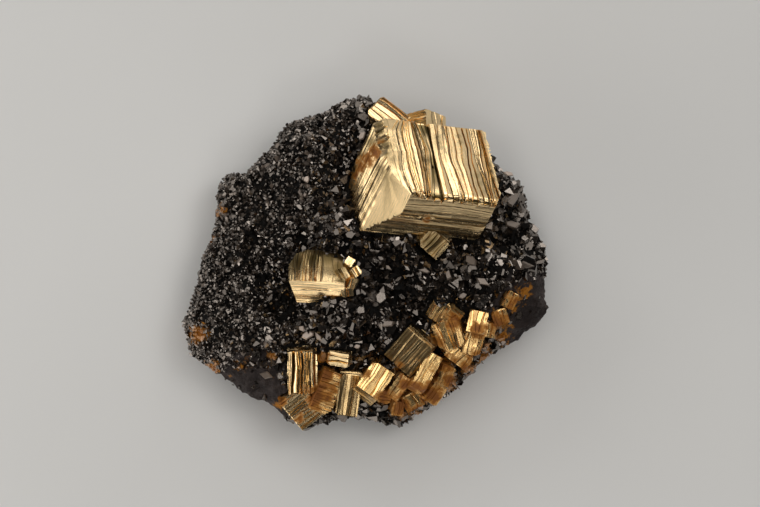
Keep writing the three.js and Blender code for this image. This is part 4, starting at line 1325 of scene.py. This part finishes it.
# %% [markdown]
# ## Floor, light and camera
# The specimen lies on its flat back on a plain pale floor. Metal shows what it mirrors, so the light
# is planned by what each great face would see from the camera's place: a large soft panel standing
# low at the far end for the ribbed front, and a dimmer one at the left for the corner.

# %% Floor
def make_floor():
    corners = [(x, y, -0.0002) for x, y in ((-3, -3), (3, -3), (3, 3), (-3, 3))]
    floor = new_piece("floor", corners, [(0, 1, 2, 3)])
    material, tree, shader = empty_material("pale floor")
    shade = mixed(tree, object_noise(tree, 9.0, 3.0), (0.74, 0.74, 0.73, 1), (0.80, 0.80, 0.79, 1))
    feed(tree, shader.inputs["Base Color"], shade)
    shader.inputs["Roughness"].default_value = 0.9
    floor.data.materials.append(material)
    return floor


floor = make_floor()


# %% Light panels and a dim room
def light_panel(name, at, target, size, brightness):
    """A soft rectangle of light. Brightness 1 looks as bright as a white wall in full exposure."""
    light = bpy.data.lights.new(name, "AREA")
    light.shape, light.size, light.size_y = "RECTANGLE", size[0], size[1]
    light.energy = brightness * math.pi * size[0] * size[1]
    light.color = (1.0, 0.975, 0.94)
    panel = link_new(name, light)
    panel.location = at
    panel.rotation_euler = (Vector(target) - Vector(at)).to_track_quat("-Z", "Y").to_euler()
    panel.visible_camera = False


PANELS = [  # name, place, target, size and brightness
    ("upper panel", (0.1, 0.35, 1.5), (0, 0, 0), (2.0, 1.6), 1.1),
    ("key panel", (0.55, 0.33, 1.35), (0, 0, 0), (0.42, 0.42), 3.0),
    ("far panel", (0.31, 0.45, 0.1), (0.02, 0.02, 0.1), (0.45, 0.2), 3.0),
    ("far upper panel", (0.3, 1.0, 0.72), (0, 0, 0), (0.35, 0.2), 2.4),
    ("left upper panel", (-0.75, 0.95, 0.75), (0, 0, 0), (0.7, 0.5), 2.4),
    ("left panel", (-0.36, -0.1, 0.1), (0, 0, 0.1), (0.4, 0.2), 2.1),
    ("front panel", (-0.18, -0.47, 0.1), (0, 0, 0.1), (0.45, 0.2), 1.6),
    ("near panel", (0.12, -0.75, 1.15), (0, 0, 0), (0.5, 0.3), 3.0),
]
for panel in PANELS:
    light_panel(*panel)
print("light panels:", len(PANELS))

world = bpy.data.worlds.new("dim room")
world.use_nodes = True
world.node_tree.nodes["Background"].inputs["Color"].default_value = (1, 1, 1, 1)
world.node_tree.nodes["Background"].inputs["Strength"].default_value = 0.02
bpy.context.scene.world = world
bpy.context.scene.view_settings.view_transform = "Standard"

# %% [markdown]
# The camera looks straight down from 2.5 m through a long lens, so the view is nearly parallel and
# the specimen's height doesn't distort it.

# %% Camera
VIEW_WIDTH = 0.152  # metres across the picture at the specimen's upper surface
camera_data = bpy.data.cameras.new("camera")
camera = link_new("camera", camera_data)
camera.location = (2.8 * MM, 1.8 * MM, 2.5)
camera_data.sensor_width = 36
camera_data.lens = 36 * (2.5 - 0.022) / VIEW_WIDTH
bpy.context.scene.camera = camera
print("lens:", round(camera_data.lens), "mm")
